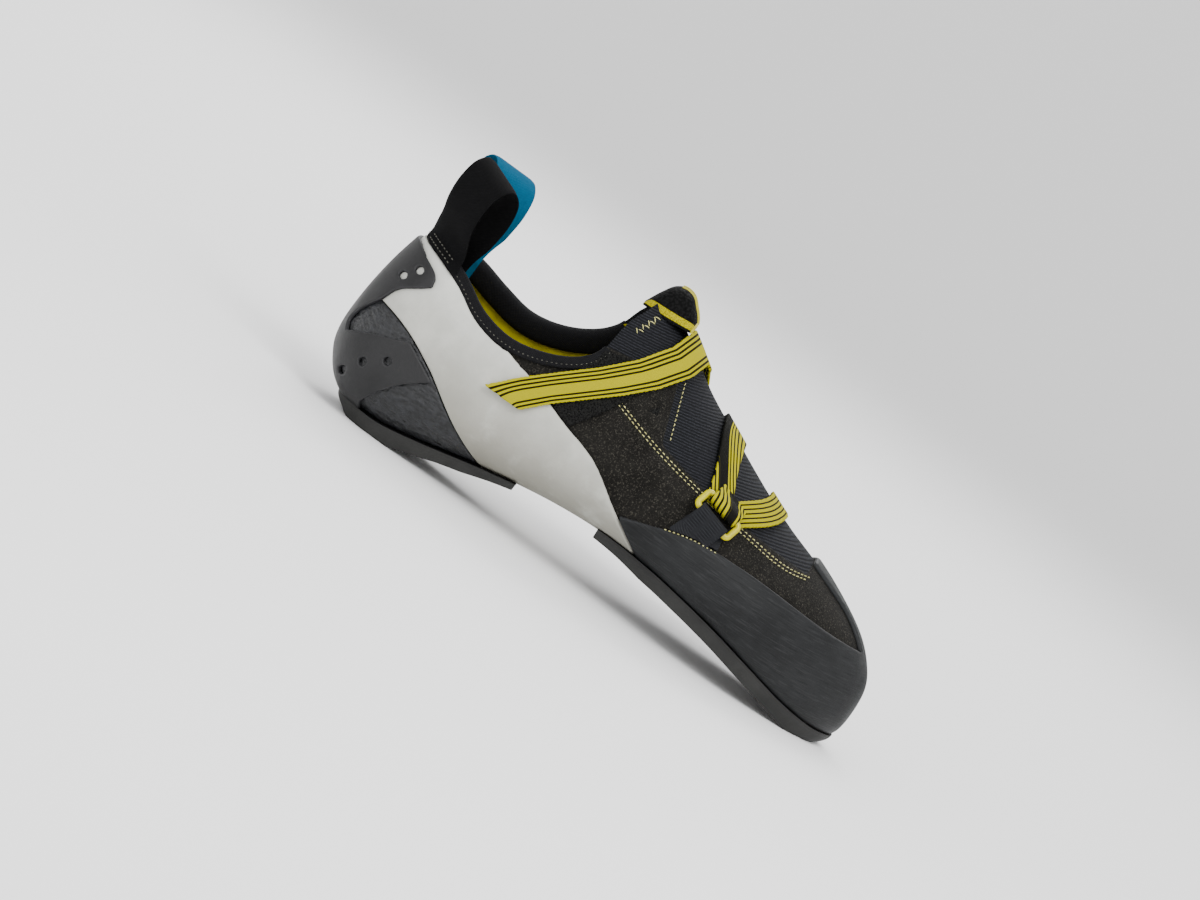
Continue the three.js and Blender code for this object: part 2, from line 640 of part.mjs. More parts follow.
function makeTab() {
  const shell = (wall) => {
    const rings = TAB.map(({ along, rise, half }) => {
      const x = TAB_START * LAST_LENGTH + along * TAB_LENGTH;
      const row = bisect(0, TOE_END, (value) => lastPoint(value, Math.PI / 2).x - x);
      const crest = lastPoint(row, Math.PI / 2);
      const height = crest.z + rise * TAB_RISE - wall;
      const wide = (half * TAB_WIDTH) / 2 - wall;
      const foot = crest.z - TAB_RISE * 0.8 - (wall > 0 ? TAB_RISE : 0);
      const angles = [0, 22.5, 45, 67.5, 90, 112.5, 135, 157.5, 180].map(radians);
      return angles.map((angle) => new THREE.Vector3(
        x,
        crest.y + wide * signedPower(Math.cos(angle), 0.8),
        foot + (height - foot) * signedPower(Math.sin(angle), 0.8),
      ));
    });
    return loft(rings);
  };
  return shell(0)
    .subtract(shell(TAB_WALL))
    .subtract(form(CLEARANCE))
    .subtract(topBlock(CLEARANCE).intersect(form(3 * STRAP_THICKNESS)));
}

function makeInsole() {
  const top = -UPPER_WALL - CLEARANCE;
  const within = bottomBlock(2.6, TOE_END - 2.4, 14, 0.74, (part) => part.wide - 2 * INSOLE);
  return layer(top - INSOLE, top).intersect(within);
}

function makeSling() {
  return layer(CLEARANCE, CLEARANCE + RUBBER).intersect(slingBlock(0)).subtract(rubberEdge(CLEARANCE));
}

function makeHeelBase() {
  return layer(CLEARANCE, CLEARANCE + RUBBER)
    .intersect(sideBlock(grow(HEEL_BASE.map(flat), -CLEARANCE), 0))
    .subtract(slingBlock(CLEARANCE))
    .subtract(heelHole(0));
}

function makeRand() {
  return layer(CLEARANCE, CLEARANCE + RUBBER)
    .intersect(randBlock(0))
    .subtract(slingBlock(CLEARANCE))
    .subtract(foreHole(0));
}

// All that lies in front of the pull loops' rear edge
function alongLoops(gap) {
  const start = LOOP_START * LAST_LENGTH - WEBBING - gap;
  const box = new THREE.BoxGeometry(LAST_LENGTH, 2 * REACH, 4 * INSTEP_HEIGHT);
  return solidOf(box.translate(start + LAST_LENGTH / 2, 0, SEAT));
}

function makeHeelRubber() {
  const inner = RUBBER + 2 * CLEARANCE;
  const edge = soleEdge([8, 11], false, inner + CUP, -CLEARANCE, HEEL_SEAT_ROW);
  const sole = soleBlock(edge, HEEL_SOLE, SIDE_ROUND, HEEL_ROUND).subtract(form(inner));
  const plug = heelHole(CLEARANCE).intersect(layer(-UPPER_WALL, inner + CLEARANCE));
  const cup = layer(inner, inner + CUP)
    .intersect(sideBlock(HEEL_CUP.map(flat), 0))
    .subtract(aboveCollar(CLEARANCE))
    .subtract(aboveCollar(FLAP_DEPTH + CLEARANCE).intersect(alongLoops(CLEARANCE)));
  return CUP_HOLES.reduce((body, hole) => {
    const point = flat(hole);
    const drill = new THREE.CylinderGeometry(CUP_HOLE / 2, CUP_HOLE / 2, 2 * REACH, 6);
    const drills = [-1, 1].map((side) => {
      const angle = Math.atan(LOOK_DOWN) * -side;
      const bore = drill.clone().translate(0, side * REACH, 0).rotateX(-angle * 1);
      return solidOf(bore.translate(point.x, 0, point.y));
    });
    return body.subtract(drills[0]).subtract(drills[1]);
  }, cup.add(sole)).add(plug);
}

function makeOutsole() {
  const inner = RUBBER + 2 * CLEARANCE;
  const edge = soleEdge([9.8, 15], true, CLEARANCE + RUBBER + SOLE_LIP, CLEARANCE, TOE_SEAT_ROW);
  const plug = foreHole(CLEARANCE).intersect(layer(-UPPER_WALL, inner + CLEARANCE));
  return soleBlock(edge, FORE_SOLE, SIDE_ROUND, TOE_ROUND).subtract(form(inner)).add(plug);
}

function makePatch() {
  return layer(CLEARANCE, CLEARANCE + PATCH)
    .intersect(sideBlock(LOOP_PATCH.map(flat), -1))
    .subtract(slingBlock(CLEARANCE))
    .subtract(throat(CLEARANCE))
    .subtract(rubberEdge(CLEARANCE));
}

function makeTopStrap() {
  const sheet = layer(OVER_PATCH, OVER_PATCH + STRAP_THICKNESS).intersect(topBlock(0));
  return sheet.add(fold(RING_MEDIAL, 1, STRAP_THICKNESS)).subtract(ringRoom(RING_MEDIAL));
}

function makeDiagonal() {
  return layer(OVER_UPPER, OVER_UPPER + STRAP_THICKNESS)
    .intersect(diagonalBlock(0))
    .subtract(topBlock(CLEARANCE))
    .subtract(foldRoom(RING_MEDIAL))
    .add(fold(RING_LATERAL, 1, STRAP_THICKNESS))
    .subtract(ringRoom(RING_LATERAL));
}

function makeVamp() {
  return layer(OVER_UPPER, OVER_UPPER + STRAP_THICKNESS)
    .intersect(legBlock(VAMP_LATERAL, VAMP_MEDIAL, VAMP_CREST))
    .subtract(diagonalBlock(CLEARANCE))
    .subtract(foldRoom(RING_LATERAL))
    .subtract(randBlock(CLEARANCE));
}

function makeKeeper(rows, place) {
  const block = place.side < 0 ? legBlock(rows, null, 0) : legBlock(null, rows, 0);
  return layer(place.level, place.level + KEEPER_THICKNESS)
    .intersect(block)
    .subtract(slingBlock(CLEARANCE))
    .subtract(randBlock(CLEARANCE))
    .add(fold(place, -1, KEEPER_THICKNESS))
    .subtract(ringRoom(place))
    .subtract(foldRoom(place));
}

// Room for the ring's rod, and for the strap's fold round its upper bar
function ringRoom(place) {
  const reach = ROD / 2 + CLEARANCE;
  const box = new THREE.BoxGeometry(RING_WIDTH + 2 * reach, RING_DEPTH + 2 * reach, 2 * reach);
  const hole = new THREE.BoxGeometry(RING_WIDTH - 2 * reach, RING_DEPTH + 4 * reach, 4 * reach);
  const frame = ringFrame(place);
  return solidOf(box.applyMatrix4(frame)).subtract(solidOf(hole.applyMatrix4(frame)));
}

function foldRoom(place) {
  const radius = ROD / 2 + CLEARANCE + STRAP_THICKNESS + 2 * CLEARANCE;
  const bar = new THREE.CylinderGeometry(radius, radius, RING_WIDTH, 12).rotateZ(Math.PI / 2);
  return solidOf(bar.translate(0, RING_DEPTH / 2, 0).applyMatrix4(ringFrame(place)));
}

// A pull loop stands on the collar between two places along the last, its ends sewn on along the wall
function makePullLoop(side, from, to) {
  const columns = 5;
  const flapOut = BINDING_OUTSIDE + 3 * CLEARANCE + WEBBING / 2;
  const padIn = UPPER_WALL + PAD_THICKNESS + 5 * CLEARANCE + WEBBING / 2;
  const quarter = side < 0 ? [Math.PI, Math.PI / 2] : [0, Math.PI / 2];
  const wall = (along, drop, out) => {
    const share = between(COLLAR, 'along', along, side < 0 ? 'lateral' : 'medial');
    const height = SEAT + share * HEEL_HEIGHT - drop;
    const rowOf = (angle) => bisect(0, 8, (row) => lastPoint(row, angle).x - along * LAST_LENGTH);
    const angle = bisect(...quarter, (value) => lastPoint(rowOf(value), value).z - height);
    return wrap(rowOf(angle), angle, out);
  };
  const places = Array.from({ length: columns }, (_, i) => from + ((to - from) * i) / (columns - 1));
  const edge = places.map((along) => wall(along, 0, 0));
  const outward = places.map((along, i) => wall(along, 0, 1).sub(edge[i]).setZ(0).normalize());
  const centre = (columns - 1) / 2;
  const across = edge[columns - 1].clone().sub(edge[0]).multiplyScalar(0.5);
  const rows = [
    new THREE.Vector2(flapOut, -FLAP_DEPTH * 0.9),
    new THREE.Vector2(flapOut, 0),
    ...LOOP_PATH.map(({ out, up }) => new THREE.Vector2(out * LOOP_REACH, up * LOOP_HEIGHT)),
    new THREE.Vector2(-padIn, 0),
    new THREE.Vector2(-padIn, -PAD_DEPTH * 0.9),
  ];
  const rings = rows.map((point, i) => {
    const course = rows[Math.min(i + 1, rows.length - 1)].clone().sub(rows[Math.max(i - 1, 0)]).normalize();
    const face = new THREE.Vector2(course.y, -course.x);
    const free = THREE.MathUtils.smoothstep(point.y, 0, LOOP_HEIGHT / 3);
    const line = (half) => places.map((along, k) => {
      if (point.y <= 0) return wall(along, -point.y, point.x + Math.sign(face.x) * half);
      const shift = point.clone().addScaledVector(face, half);
      const held = edge[k].clone().addScaledVector(outward[k], shift.x);
      const loose = edge[centre].clone().addScaledVector(across, (2 * k) / (columns - 1) - 1);
      loose.addScaledVector(outward[centre], shift.x);
      const spot = held.lerp(loose, free);
      spot.z += shift.y;
      return spot;
    });
    return [...line(WEBBING / 2), ...line(-WEBBING / 2).reverse()];
  });
  return loft(rings);
}

// The shoe

const black = { color: 0x232323, roughness: 0.85 };
const pieces = {
  upper: [makeUpper(), { color: 0x26241f, roughness: 0.95 }],
  collar_binding: [makeBinding(), { color: 0x222225, roughness: 0.9 }],
  tongue: [makeTongue(), { color: 0x23242b, roughness: 0.9 }],
  tongue_tab: [makeTab(), black],
  insole: [makeInsole(), { color: 0xb9b312, roughness: 0.9 }],
  sling: [makeSling(), { color: 0xc9cac4, roughness: 0.6 }],
  heel_base: [makeHeelBase(), { color: 0x35353a, roughness: 0.6 }],
  heel_rubber: [makeHeelRubber(), { color: 0x3f3f3f, roughness: 0.55 }],
  toe_rand: [makeRand(), { color: 0x3c3d40, roughness: 0.55 }],
  outsole: [makeOutsole(), { color: 0x3a3a38, roughness: 0.6 }],
  loop_patch: [makePatch(), { color: 0x151515, roughness: 1 }],
  strap_top: [makeTopStrap(), { color: 0xe3d62e, roughness: 0.7 }],
  strap_diagonal: [makeDiagonal(), { color: 0x2a2a26, roughness: 0.7 }],
  strap_vamp: [makeVamp(), { color: 0xe3d62e, roughness: 0.7 }],
  ring_lateral: [ring(RING_LATERAL), { color: 0xefe61e, roughness: 0.3, metalness: 0.2 }],
  ring_medial: [ring(RING_MEDIAL), { color: 0xefe61e, roughness: 0.3, metalness: 0.2 }],
  keeper_lateral: [makeKeeper(KEEPER_LATERAL, RING_LATERAL), black],
  keeper_medial: [makeKeeper(KEEPER_MEDIAL, RING_MEDIAL), black],
  pull_loop_lateral: [makePullLoop(-1, LOOP_START, 0.097), black],
  pull_loop_medial: [makePullLoop(1, LOOP_START, 0.102), { color: 0x1b86a3, roughness: 0.8 }],
};

const shoe = new THREE.Group();
shoe.name = 'climbing_shoe';
shoe.position.x = -HEEL_REST * LAST_LENGTH;
for (const [name, [body, finish]] of Object.entries(pieces)) {
  const mesh = body.getMesh();
  const geometry = new THREE.BufferGeometry();
  geometry.setAttribute('position', new THREE.BufferAttribute(mesh.vertProperties, 3));
  geometry.setIndex(new THREE.BufferAttribute(mesh.triVerts, 1));
  geometry.computeVertexNormals();
  const piece = new THREE.Mesh(geometry, new THREE.MeshStandardMaterial(finish));
  piece.name = name;
  shoe.add(piece);
}

export default shoe;
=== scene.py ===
# %% [markdown]
# # A climbing shoe, dressed for the camera
#
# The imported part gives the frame: hard sizes, layers and the places of every piece. This lesson makes the
# pieces again with smooth surfaces, rounded edges, stitches and materials. All of them grow from one form,
# the last, which is a function of two numbers: a row from heel to toe and an angle round the foot.
# Sizes are millimetres here and become metres when a mesh is made.

# %% Load the frame
import math

import bpy
import numpy as np
from mathutils import Matrix, Vector


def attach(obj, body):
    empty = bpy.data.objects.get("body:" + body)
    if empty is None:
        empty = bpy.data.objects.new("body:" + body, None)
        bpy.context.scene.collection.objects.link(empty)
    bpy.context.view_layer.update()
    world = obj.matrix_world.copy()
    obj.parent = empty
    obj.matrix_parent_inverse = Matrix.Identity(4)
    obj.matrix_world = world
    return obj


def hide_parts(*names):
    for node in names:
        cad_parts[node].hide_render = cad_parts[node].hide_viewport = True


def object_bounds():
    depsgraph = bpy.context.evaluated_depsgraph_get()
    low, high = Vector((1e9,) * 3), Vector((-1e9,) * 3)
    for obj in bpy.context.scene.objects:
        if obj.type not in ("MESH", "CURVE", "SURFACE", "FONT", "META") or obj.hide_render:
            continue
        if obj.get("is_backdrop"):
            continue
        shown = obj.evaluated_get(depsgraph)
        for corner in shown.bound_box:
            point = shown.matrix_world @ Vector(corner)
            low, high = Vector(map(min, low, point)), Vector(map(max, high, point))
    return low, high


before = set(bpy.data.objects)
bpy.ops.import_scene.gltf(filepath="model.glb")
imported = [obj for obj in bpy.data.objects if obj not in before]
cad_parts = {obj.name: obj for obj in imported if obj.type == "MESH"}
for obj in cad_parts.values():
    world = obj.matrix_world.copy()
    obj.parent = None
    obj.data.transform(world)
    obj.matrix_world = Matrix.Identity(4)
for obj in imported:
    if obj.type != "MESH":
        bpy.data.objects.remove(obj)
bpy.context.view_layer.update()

# %% [markdown]
# ## Sizes
# The shoe is layered like a sandwich: lining, suede, rubber, and a cup or strap on top. Every layer is told
# by how far it lies outside the last, so no two of them can share a surface and flicker in the render.

# %% Named sizes
MM = 0.001
LAST_LENGTH, BALL_WIDTH, INSTEP_HEIGHT, HEEL_HEIGHT, ARCH_RISE = 244, 85, 108, 71.5, 17
WALL, RUBBER, CUP, CLEARANCE, SOLE = 2, 1.4, 1.3, 0.3, 4
STRAP_WIDTH, STRAP_THICKNESS, ROD, RING_DEPTH, RING_CORNER = 14, 1.2, 2.6, 8, 1.7
RING_WIDTH = STRAP_WIDTH + 1 + ROD
SEAT = SOLE + RUBBER + 2 * CLEARANCE
LOOK_DOWN = 0.123
HEEL_REST = 0.118
OVER_CUP = RUBBER + 2 * CLEARANCE
OVER_UPPER = 2 * CLEARANCE
OVER_PATCH = RUBBER + 2 * CLEARANCE
ORIGIN = np.array([HEEL_REST * LAST_LENGTH, 0, 0])

# %% [markdown]
# ## The last
# A last is the wooden foot that a shoe is built on. It could be sculpted, but a table of cross sections is
# easier to change: each row has a width, a bottom, a top and the height where it is widest, and superellipses
# between them make the section. Curves through the rows make the form smooth.

# %% The table of sections
# along, middle, half, low, arch, top, wide, lean, under, over
LAST = np.array([
    (0.0, 0.0, 0.0, 0.25, 0.0, 0.25, 0.25, 0.0, 2.2, 2.0),
    (0.004, 0.0, 0.106, 0.162, 0.0, 0.398, 0.241, 0.0, 2.2, 2.0),
    (0.015, 0.0, 0.182, 0.106, 0.0, 0.546, 0.222, 0.0, 2.3, 2.0),
    (0.037, 0.0, 0.253, 0.046, 0.0, 0.722, 0.204, 0.0, 2.4, 2.0),
    (0.07, 0.0, 0.312, 0.009, 0.0, 0.861, 0.185, 0.0, 2.5, 2.0),
    (0.122, 0.0, 0.347, 0.0, 0.0, 0.954, 0.171, 0.0, 2.6, 2.0),
    (0.195, -0.006, 0.359, 0.0, 0.188, 0.991, 0.194, 0.0, 2.5, 2.0),
    (0.277, -0.018, 0.365, 0.0, 0.47, 1.0, 0.241, 0.0, 2.4, 1.95),
    (0.359, -0.035, 0.382, 0.0, 0.724, 0.981, 0.287, 0.01, 2.4, 1.9),
    (0.441, -0.035, 0.412, 0.0, 0.906, 0.889, 0.315, 0.024, 2.4, 1.9),
    (0.523, -0.018, 0.447, 0.0, 1.0, 0.769, 0.324, 0.047, 2.7, 1.85),
    (0.605, 0.006, 0.482, 0.0, 0.976, 0.676, 0.296, 0.071, 3.1, 1.85),
    (0.679, 0.018, 0.5, 0.0, 0.876, 0.597, 0.255, 0.082, 3.4, 1.9),
    (0.753, 0.029, 0.482, 0.0, 0.7, 0.528, 0.213, 0.082, 3.4, 2.0),
    (0.827, 0.059, 0.435, 0.0, 0.447, 0.472, 0.162, 0.071, 3.4, 2.1),
    (0.892, 0.1, 0.359, 0.0, 0.188, 0.407, 0.119, 0.047, 3.2, 2.2),
    (0.943, 0.135, 0.271, 0.0, 0.035, 0.341, 0.091, 0.024, 3.0, 2.2),
    (0.977, 0.155, 0.182, 0.0, 0.0, 0.269, 0.079, 0.012, 2.6, 2.2),
    (0.995, 0.162, 0.1, 0.023, 0.0, 0.199, 0.081, 0.0, 2.2, 2.1),
    (1.0, 0.165, 0.0, 0.097, 0.0, 0.097, 0.097, 0.0, 2.0, 2.0),
])
TOE_END = len(LAST) - 1
X, MIDDLE, HALF, LEAN, BOTTOM, TOP, WIDE, UNDER, OVER = range(9)


def last_rows():
    along, middle, half, low, arch, top, wide, lean, under, over = LAST.T
    rows = np.stack([
        along * LAST_LENGTH, middle * BALL_WIDTH, half * BALL_WIDTH, lean * BALL_WIDTH,
        SEAT + low * INSTEP_HEIGHT + arch * ARCH_RISE, SEAT + top * INSTEP_HEIGHT,
        SEAT + wide * INSTEP_HEIGHT, under, over,
    ], axis=1)
    ends = rows[[1, TOE_END - 1]].copy()
    ends[:, HALF] *= -1
    ends[:, [BOTTOM, TOP]] = ends[:, [TOP, BOTTOM]]
    return np.vstack([ends[:1], rows, ends[1:]])


ROWS = last_rows()


# %% The last as a function
def section(row):
    row = np.clip(row, 0, TOE_END)
    first = np.clip(np.floor(row).astype(int), 0, TOE_END - 1)
    t = (row - first)[..., None]
    a, b, c, d = (ROWS[first + k] for k in range(4))
    return (2 * b + (c - a) * t + (2 * a - 5 * b + 4 * c - d) * t**2 + (3 * b - a - 3 * c + d) * t**3) / 2


def signed_power(value, power):
    return np.sign(value) * np.abs(value) ** power


def last_point(row, angle):
    row, angle = np.broadcast_arrays(np.asarray(row, float), np.asarray(angle, float))
    part = section(row)
    above = np.sin(angle) >= 0
    power = 2 / np.where(above, part[..., OVER], part[..., UNDER])
    height = np.where(above, part[..., TOP] - part[..., WIDE], part[..., WIDE] - part[..., BOTTOM])
    lean = np.where(above, part[..., LEAN] * np.sin(angle) ** 2, 0)
    return np.stack([
        part[..., X],
        part[..., MIDDLE] + part[..., HALF] * signed_power(np.cos(angle), power) + lean,
        part[..., WIDE] + height * signed_power(np.sin(angle), power),
    ], axis=-1)


def unit(vectors):
    return vectors / np.maximum(np.linalg.norm(vectors, axis=-1, keepdims=True), 1e-12)


def last_normal(row, angle):
    row, angle = np.broadcast_arrays(np.asarray(row, float), np.asarray(angle, float))
    around = last_point(row, angle + 0.08) - last_point(row, angle - 0.08)
    along = last_point(np.minimum(row + 0.2, TOE_END), angle) - last_point(np.maximum(row - 0.2, 0), angle)
    normal = unit(np.cross(around, along))
    normal[row < 1e-6] = (-1, 0, 0)
    normal[row > TOE_END - 1e-6] = (1, 0, 0)
    return normal


def wrap(row, angle, offset):
    return last_point(row, angle) + last_normal(row, angle) * np.asarray(offset, float)[..., None]


print("last, mm:", np.ptp(last_point(np.linspace(0, TOE_END, 200)[:, None], np.linspace(0, 6.3, 90)).reshape(-1, 3), axis=0).round(1))

# %% [markdown]
# ## A fine net over the last
# Pieces are cut out of this net, so it should have even cells of about a millimetre. Equal steps of angle
# would crowd at some places and gape at others, so the steps follow the length along the surface.

# %% The net
ALONG_STEPS, ROUND_STEPS = 250, 200


def even_steps(points, count):
    """Positions, as shares of the list, that cut a line of points in equal lengths."""
    length = np.concatenate([[0], np.cumsum(np.linalg.norm(np.diff(points, axis=0), axis=1))])
    return np.interp(np.linspace(0, length[-1], count), length, np.linspace(0, 1, len(points)))


def last_net():
    fine_row = np.linspace(0, TOE_END, 2000)
    steps = sum(np.linalg.norm(np.diff(last_point(fine_row, a), axis=0), axis=1) for a in (0, 1.57, 3.14, 4.71))
    length = np.concatenate([[0], np.cumsum(steps)])
    rows = np.interp(np.linspace(0, length[-1], ALONG_STEPS), length, fine_row)
    fine_angle = np.linspace(-math.pi / 2, 1.5 * math.pi, 1500)
    angles = []
    for row in rows:
        share = even_steps(last_point(np.clip(row, 0.02, TOE_END - 0.02), fine_angle), ROUND_STEPS)
        angles.append(fine_angle[0] + share * 2 * math.pi)
    params = np.stack([np.repeat(rows, ROUND_STEPS), np.concatenate(angles)], axis=1)
    i, j = np.meshgrid(np.arange(ALONG_STEPS - 1), np.arange(ROUND_STEPS - 1), indexing="ij")
    a = (i * ROUND_STEPS + j).ravel()
    b, c, d = a + 1, a + ROUND_STEPS + 1, a + ROUND_STEPS
    return params, np.concatenate([np.stack([a, b, c], 1), np.stack([a, c, d], 1)])


NET_PARAMS, NET_CORNERS = last_net()
NET_POINTS = last_point(*NET_PARAMS.T)
NET_NORMALS = last_normal(*NET_PARAMS.T)
print("net:", len(NET_CORNERS), "triangles")

# %% [markdown]
# ## Outlines seen from the side
# The edges of sling, rand, cup and throat are drawn on a side view. A rule turns a place on the last into its
# distance from such an outline, positive inside. Distances are measured along the surface, because over the
# instep the side view is so foreshortened that a bevel would otherwise smear out.


# %% Smooth outlines and distances
def outline(*points):
    return np.array(points, float) * (LAST_LENGTH, INSTEP_HEIGHT) + (0, SEAT)


def smoothed(points, closed=True, steps=8, corner=48):
    """A curve through the points that keeps corners sharper than the given angle."""
    before, after = np.roll(points, 1, axis=0), np.roll(points, -1, axis=0)
    come, leave = points - before, after - points
    size_in, size_out = (np.linalg.norm(v, axis=1, keepdims=True) + 1e-9 for v in (come, leave))
    tangent = (come / size_in * size_out + leave / size_out * size_in) / (size_in + size_out)
    turn = np.degrees(np.arccos(np.clip((come * leave).sum(1) / (size_in * size_out)[:, 0], -1, 1)))
    sharp = turn > corner
    t = np.linspace(0, 1, steps, endpoint=False)[:, None]
    line = []
    for i in range(len(points) if closed else len(points) - 1):
        k = (i + 1) % len(points)
        size = size_out[i]
        start = (leave[i] / size) if sharp[i] or (not closed and i == 0) else tangent[i]
        end = (leave[i] / size) if sharp[k] or (not closed and k == len(points) - 1) else tangent[k]
        a, b = points[i], points[k]
        line.append((2 * t**3 - 3 * t**2 + 1) * a + (t**3 - 2 * t**2 + t) * start * size
                    + (3 * t**2 - 2 * t**3) * b + (t**3 - t**2) * end * size)
    if not closed:
        line.append(points[-1:])
    return np.vstack(line)


def line_distance(spots, line, closed=True):
    """Distance to a line of points, the direction to its left, in which a signed distance grows, and the start of the
    nearest segment.
    """
    ends = np.roll(line, -1, axis=0) if closed else line[1:]
    starts = line if closed else line[:-1]
    course = ends - starts
    size = (course**2).sum(1) + 1e-12
    best = np.full(len(spots), 1e9)
    pick = np.zeros(len(spots), int)
    for i, (a, v) in enumerate(zip(starts, course)):
        t = np.clip(((spots - a) @ v) / size[i], 0, 1)
        away = ((spots - a - t[:, None] * v) ** 2).sum(1)
        nearer = away < best - 1e-12
        best[nearer], pick[nearer] = away[nearer], i
    left = np.stack([-course[:, 1], course[:, 0]], 1) / np.sqrt(size)[:, None]
    return np.sqrt(best), left[pick], starts[pick]


def inside_of(spots, line):
    a, b = line, np.roll(line, -1, axis=0)
    inside = np.zeros(len(spots), bool)
    for (ax, ay), (bx, by) in zip(a, b):
        if ay == by:
            continue
        crosses = (ay > spots[:, 1]) != (by > spots[:, 1])
        inside ^= crosses & (spots[:, 0] < (bx - ax) * (spots[:, 1] - ay) / (by - ay) + ax)
    return inside


def along_surface(value, slope, normals):
    """Turns a distance in the side view into one along the surface."""
    across = slope - (slope * normals).sum(1, keepdims=True) * normals
    return value / np.clip(np.linalg.norm(across, axis=1), 0.3, 1)


def side_field(lateral, medial=None, ridge=0.0, grow=0.0):
    """The field of an outline: one curve for each side, which meet on the ridge."""
    curves = [lateral, lateral if medial is None else medial]
    turned = [c if np.cross(c, np.roll(c, -1, axis=0)).sum() > 0 else c[::-1] for c in curves]

    def field(points, normals):
        result = np.empty(len(points))
        for side, curve in zip((-1, 1), turned):
            mine = (points[:, 1] - ridge) * side >= (0 if side > 0 else 1e-12)
            if not mine.any():
                continue
            p = points[mine]
            spots = np.stack([p[:, 0], p[:, 2] - LOOK_DOWN * (np.abs(p[:, 1] - ridge) - ridge)], 1)
            away, left, _ = line_distance(spots, curve)
            value = np.where(inside_of(spots, curve), away, -away) + grow
            slope = np.stack([left[:, 0], -LOOK_DOWN * side * left[:, 1], left[:, 1]], 1)
            result[mine] = along_surface(value, slope, normals[mine])
        return result

    return field


# %% [markdown]
# The collar's edge is a height that changes along the shoe, a little higher on the inner side.

# %% The collar's height
COLLAR = np.array([  # along, lateral, medial
    (-0.1, 1.0, 1.0), (0.023, 1.0, 1.0), (0.109, 0.92, 0.973), (0.167, 0.825, 0.923), (0.22, 0.797, 0.895),
    (0.265, 0.825, 0.925), (0.343, 0.993, 1.119), (0.359, 1.259, 1.273), (0.372, 1.357, 1.37), (0.39, 1.9, 1.9),
])


def smooth_table(column):
    along = COLLAR[:, 0] * LAST_LENGTH
    knots = np.stack([along, SEAT + COLLAR[:, column] * HEEL_HEIGHT], 1)
    line = smoothed(knots, closed=False, steps=12, corner=180)
    return lambda x: np.interp(x, line[:, 0], line[:, 1])


lateral_collar, medial_collar = smooth_table(1), smooth_table(2)


def collar_height(x, y):
    share = np.clip(y / (BALL_WIDTH / 2) + 0.5, 0, 1)
    share = share * share * (3 - 2 * share)
    return lateral_collar(x) * (1 - share) + medial_collar(x) * share


def below_collar(depth):
    def field(points, normals):
        x, y, z = points.T
        height = collar_height(x, y)
        slope = np.stack([
            (collar_height(x + 0.5, y) - collar_height(x - 0.5, y)),
            (collar_height(x, y + 0.5) - collar_height(x, y - 0.5)),
            -np.ones(len(x)),
        ], 1)
        steep = np.linalg.norm(slope, axis=1)
        return along_surface((height - depth - z) / steep, slope / steep[:, None], normals)
    return field


# %% [markdown]
# ## Cutting the net
# Blender's knife and boolean tools could cut the pieces, but they leave edges that follow the net. Here each
# triangle that an outline crosses is divided exactly on the outline, and further cuts just inside it make
# room for a rounded edge.

# %% Cut triangles on a line
def both(*fields):
    return lambda points, normals: np.min([field(points, normals) for field in fields], axis=0)


def outside(field):
    return lambda points, normals: -field(points, normals)


def measured(field, params):
    return field(last_point(*params.T), last_normal(*params.T))


def divide(params, corners, values, field, level):
    """Divides the triangles where the field has the given level."""
    f = values - level
    edges = np.unique(np.sort(np.concatenate([corners[:, [0, 1]], corners[:, [1, 2]], corners[:, [2, 0]]]), axis=1), axis=0)
    a, b = edges[(f[edges[:, 0]] > 0) != (f[edges[:, 1]] > 0)].T
    low, high, at_low, at_high = np.zeros(len(a)), np.ones(len(a)), f[a], f[b]
    for _ in range(5):
        t = np.clip(low + (high - low) * at_low / (at_low - at_high), low, high)
        value = measured(field, params[a] + t[:, None] * (params[b] - params[a])) - level
        same = (value > 0) == (at_low > 0)
        low, at_low = np.where(same, t, low), np.where(same, value, at_low)
        high, at_high = np.where(same, high, t), np.where(same, at_high, value)
    params, f = params.copy(), f.copy()
    snap_a, snap_b = t < 0.15, t > 0.85
    spots = params[a] + t[:, None] * (params[b] - params[a])
    params[a[snap_a]], f[a[snap_a]] = spots[snap_a], 0
    params[b[snap_b]], f[b[snap_b]] = spots[snap_b], 0
    open_edge = (f[a] != 0) & (f[b] != 0)
    keys = a[open_edge] * len(params) + b[open_edge]
    order = np.argsort(keys)
    keys, spots = keys[order], spots[open_edge][order]
    count = len(params)
    params = np.vstack([params, spots])
    f = np.concatenate([f, np.zeros(len(spots))])

    def middle(p, q):
        return count + np.searchsorted(keys, np.minimum(p, q) * count + np.maximum(p, q))

    sign = np.sign(f[corners])
    mixed = (sign.max(1) > 0) & (sign.min(1) < 0)
    result = [corners[~mixed]]
    cut, cut_sign = corners[mixed], sign[mixed]
    touching = (cut_sign == 0).any(1)
    first = np.argmax(cut_sign[touching] == 0, axis=1)
    z, p, q = (cut[touching][np.arange(len(first)), (first + k) % 3] for k in range(3))
    if len(z):
        m = middle(p, q)
        result += [np.stack([z, p, m], 1), np.stack([z, m, q], 1)]
    plain, plain_sign = cut[~touching], cut_sign[~touching]
    odd = np.argmax(plain_sign == -np.sign(plain_sign.sum(1))[:, None], axis=1)
    o, p, q = (plain[np.arange(len(odd)), (odd + k) % 3] for k in range(3))
    if len(o):
        m, n = middle(o, p), middle(o, q)
        result += [np.stack([o, m, n], 1), np.stack([m, p, q], 1), np.stack([m, q, n], 1)]
    return params, np.concatenate(result), f + level


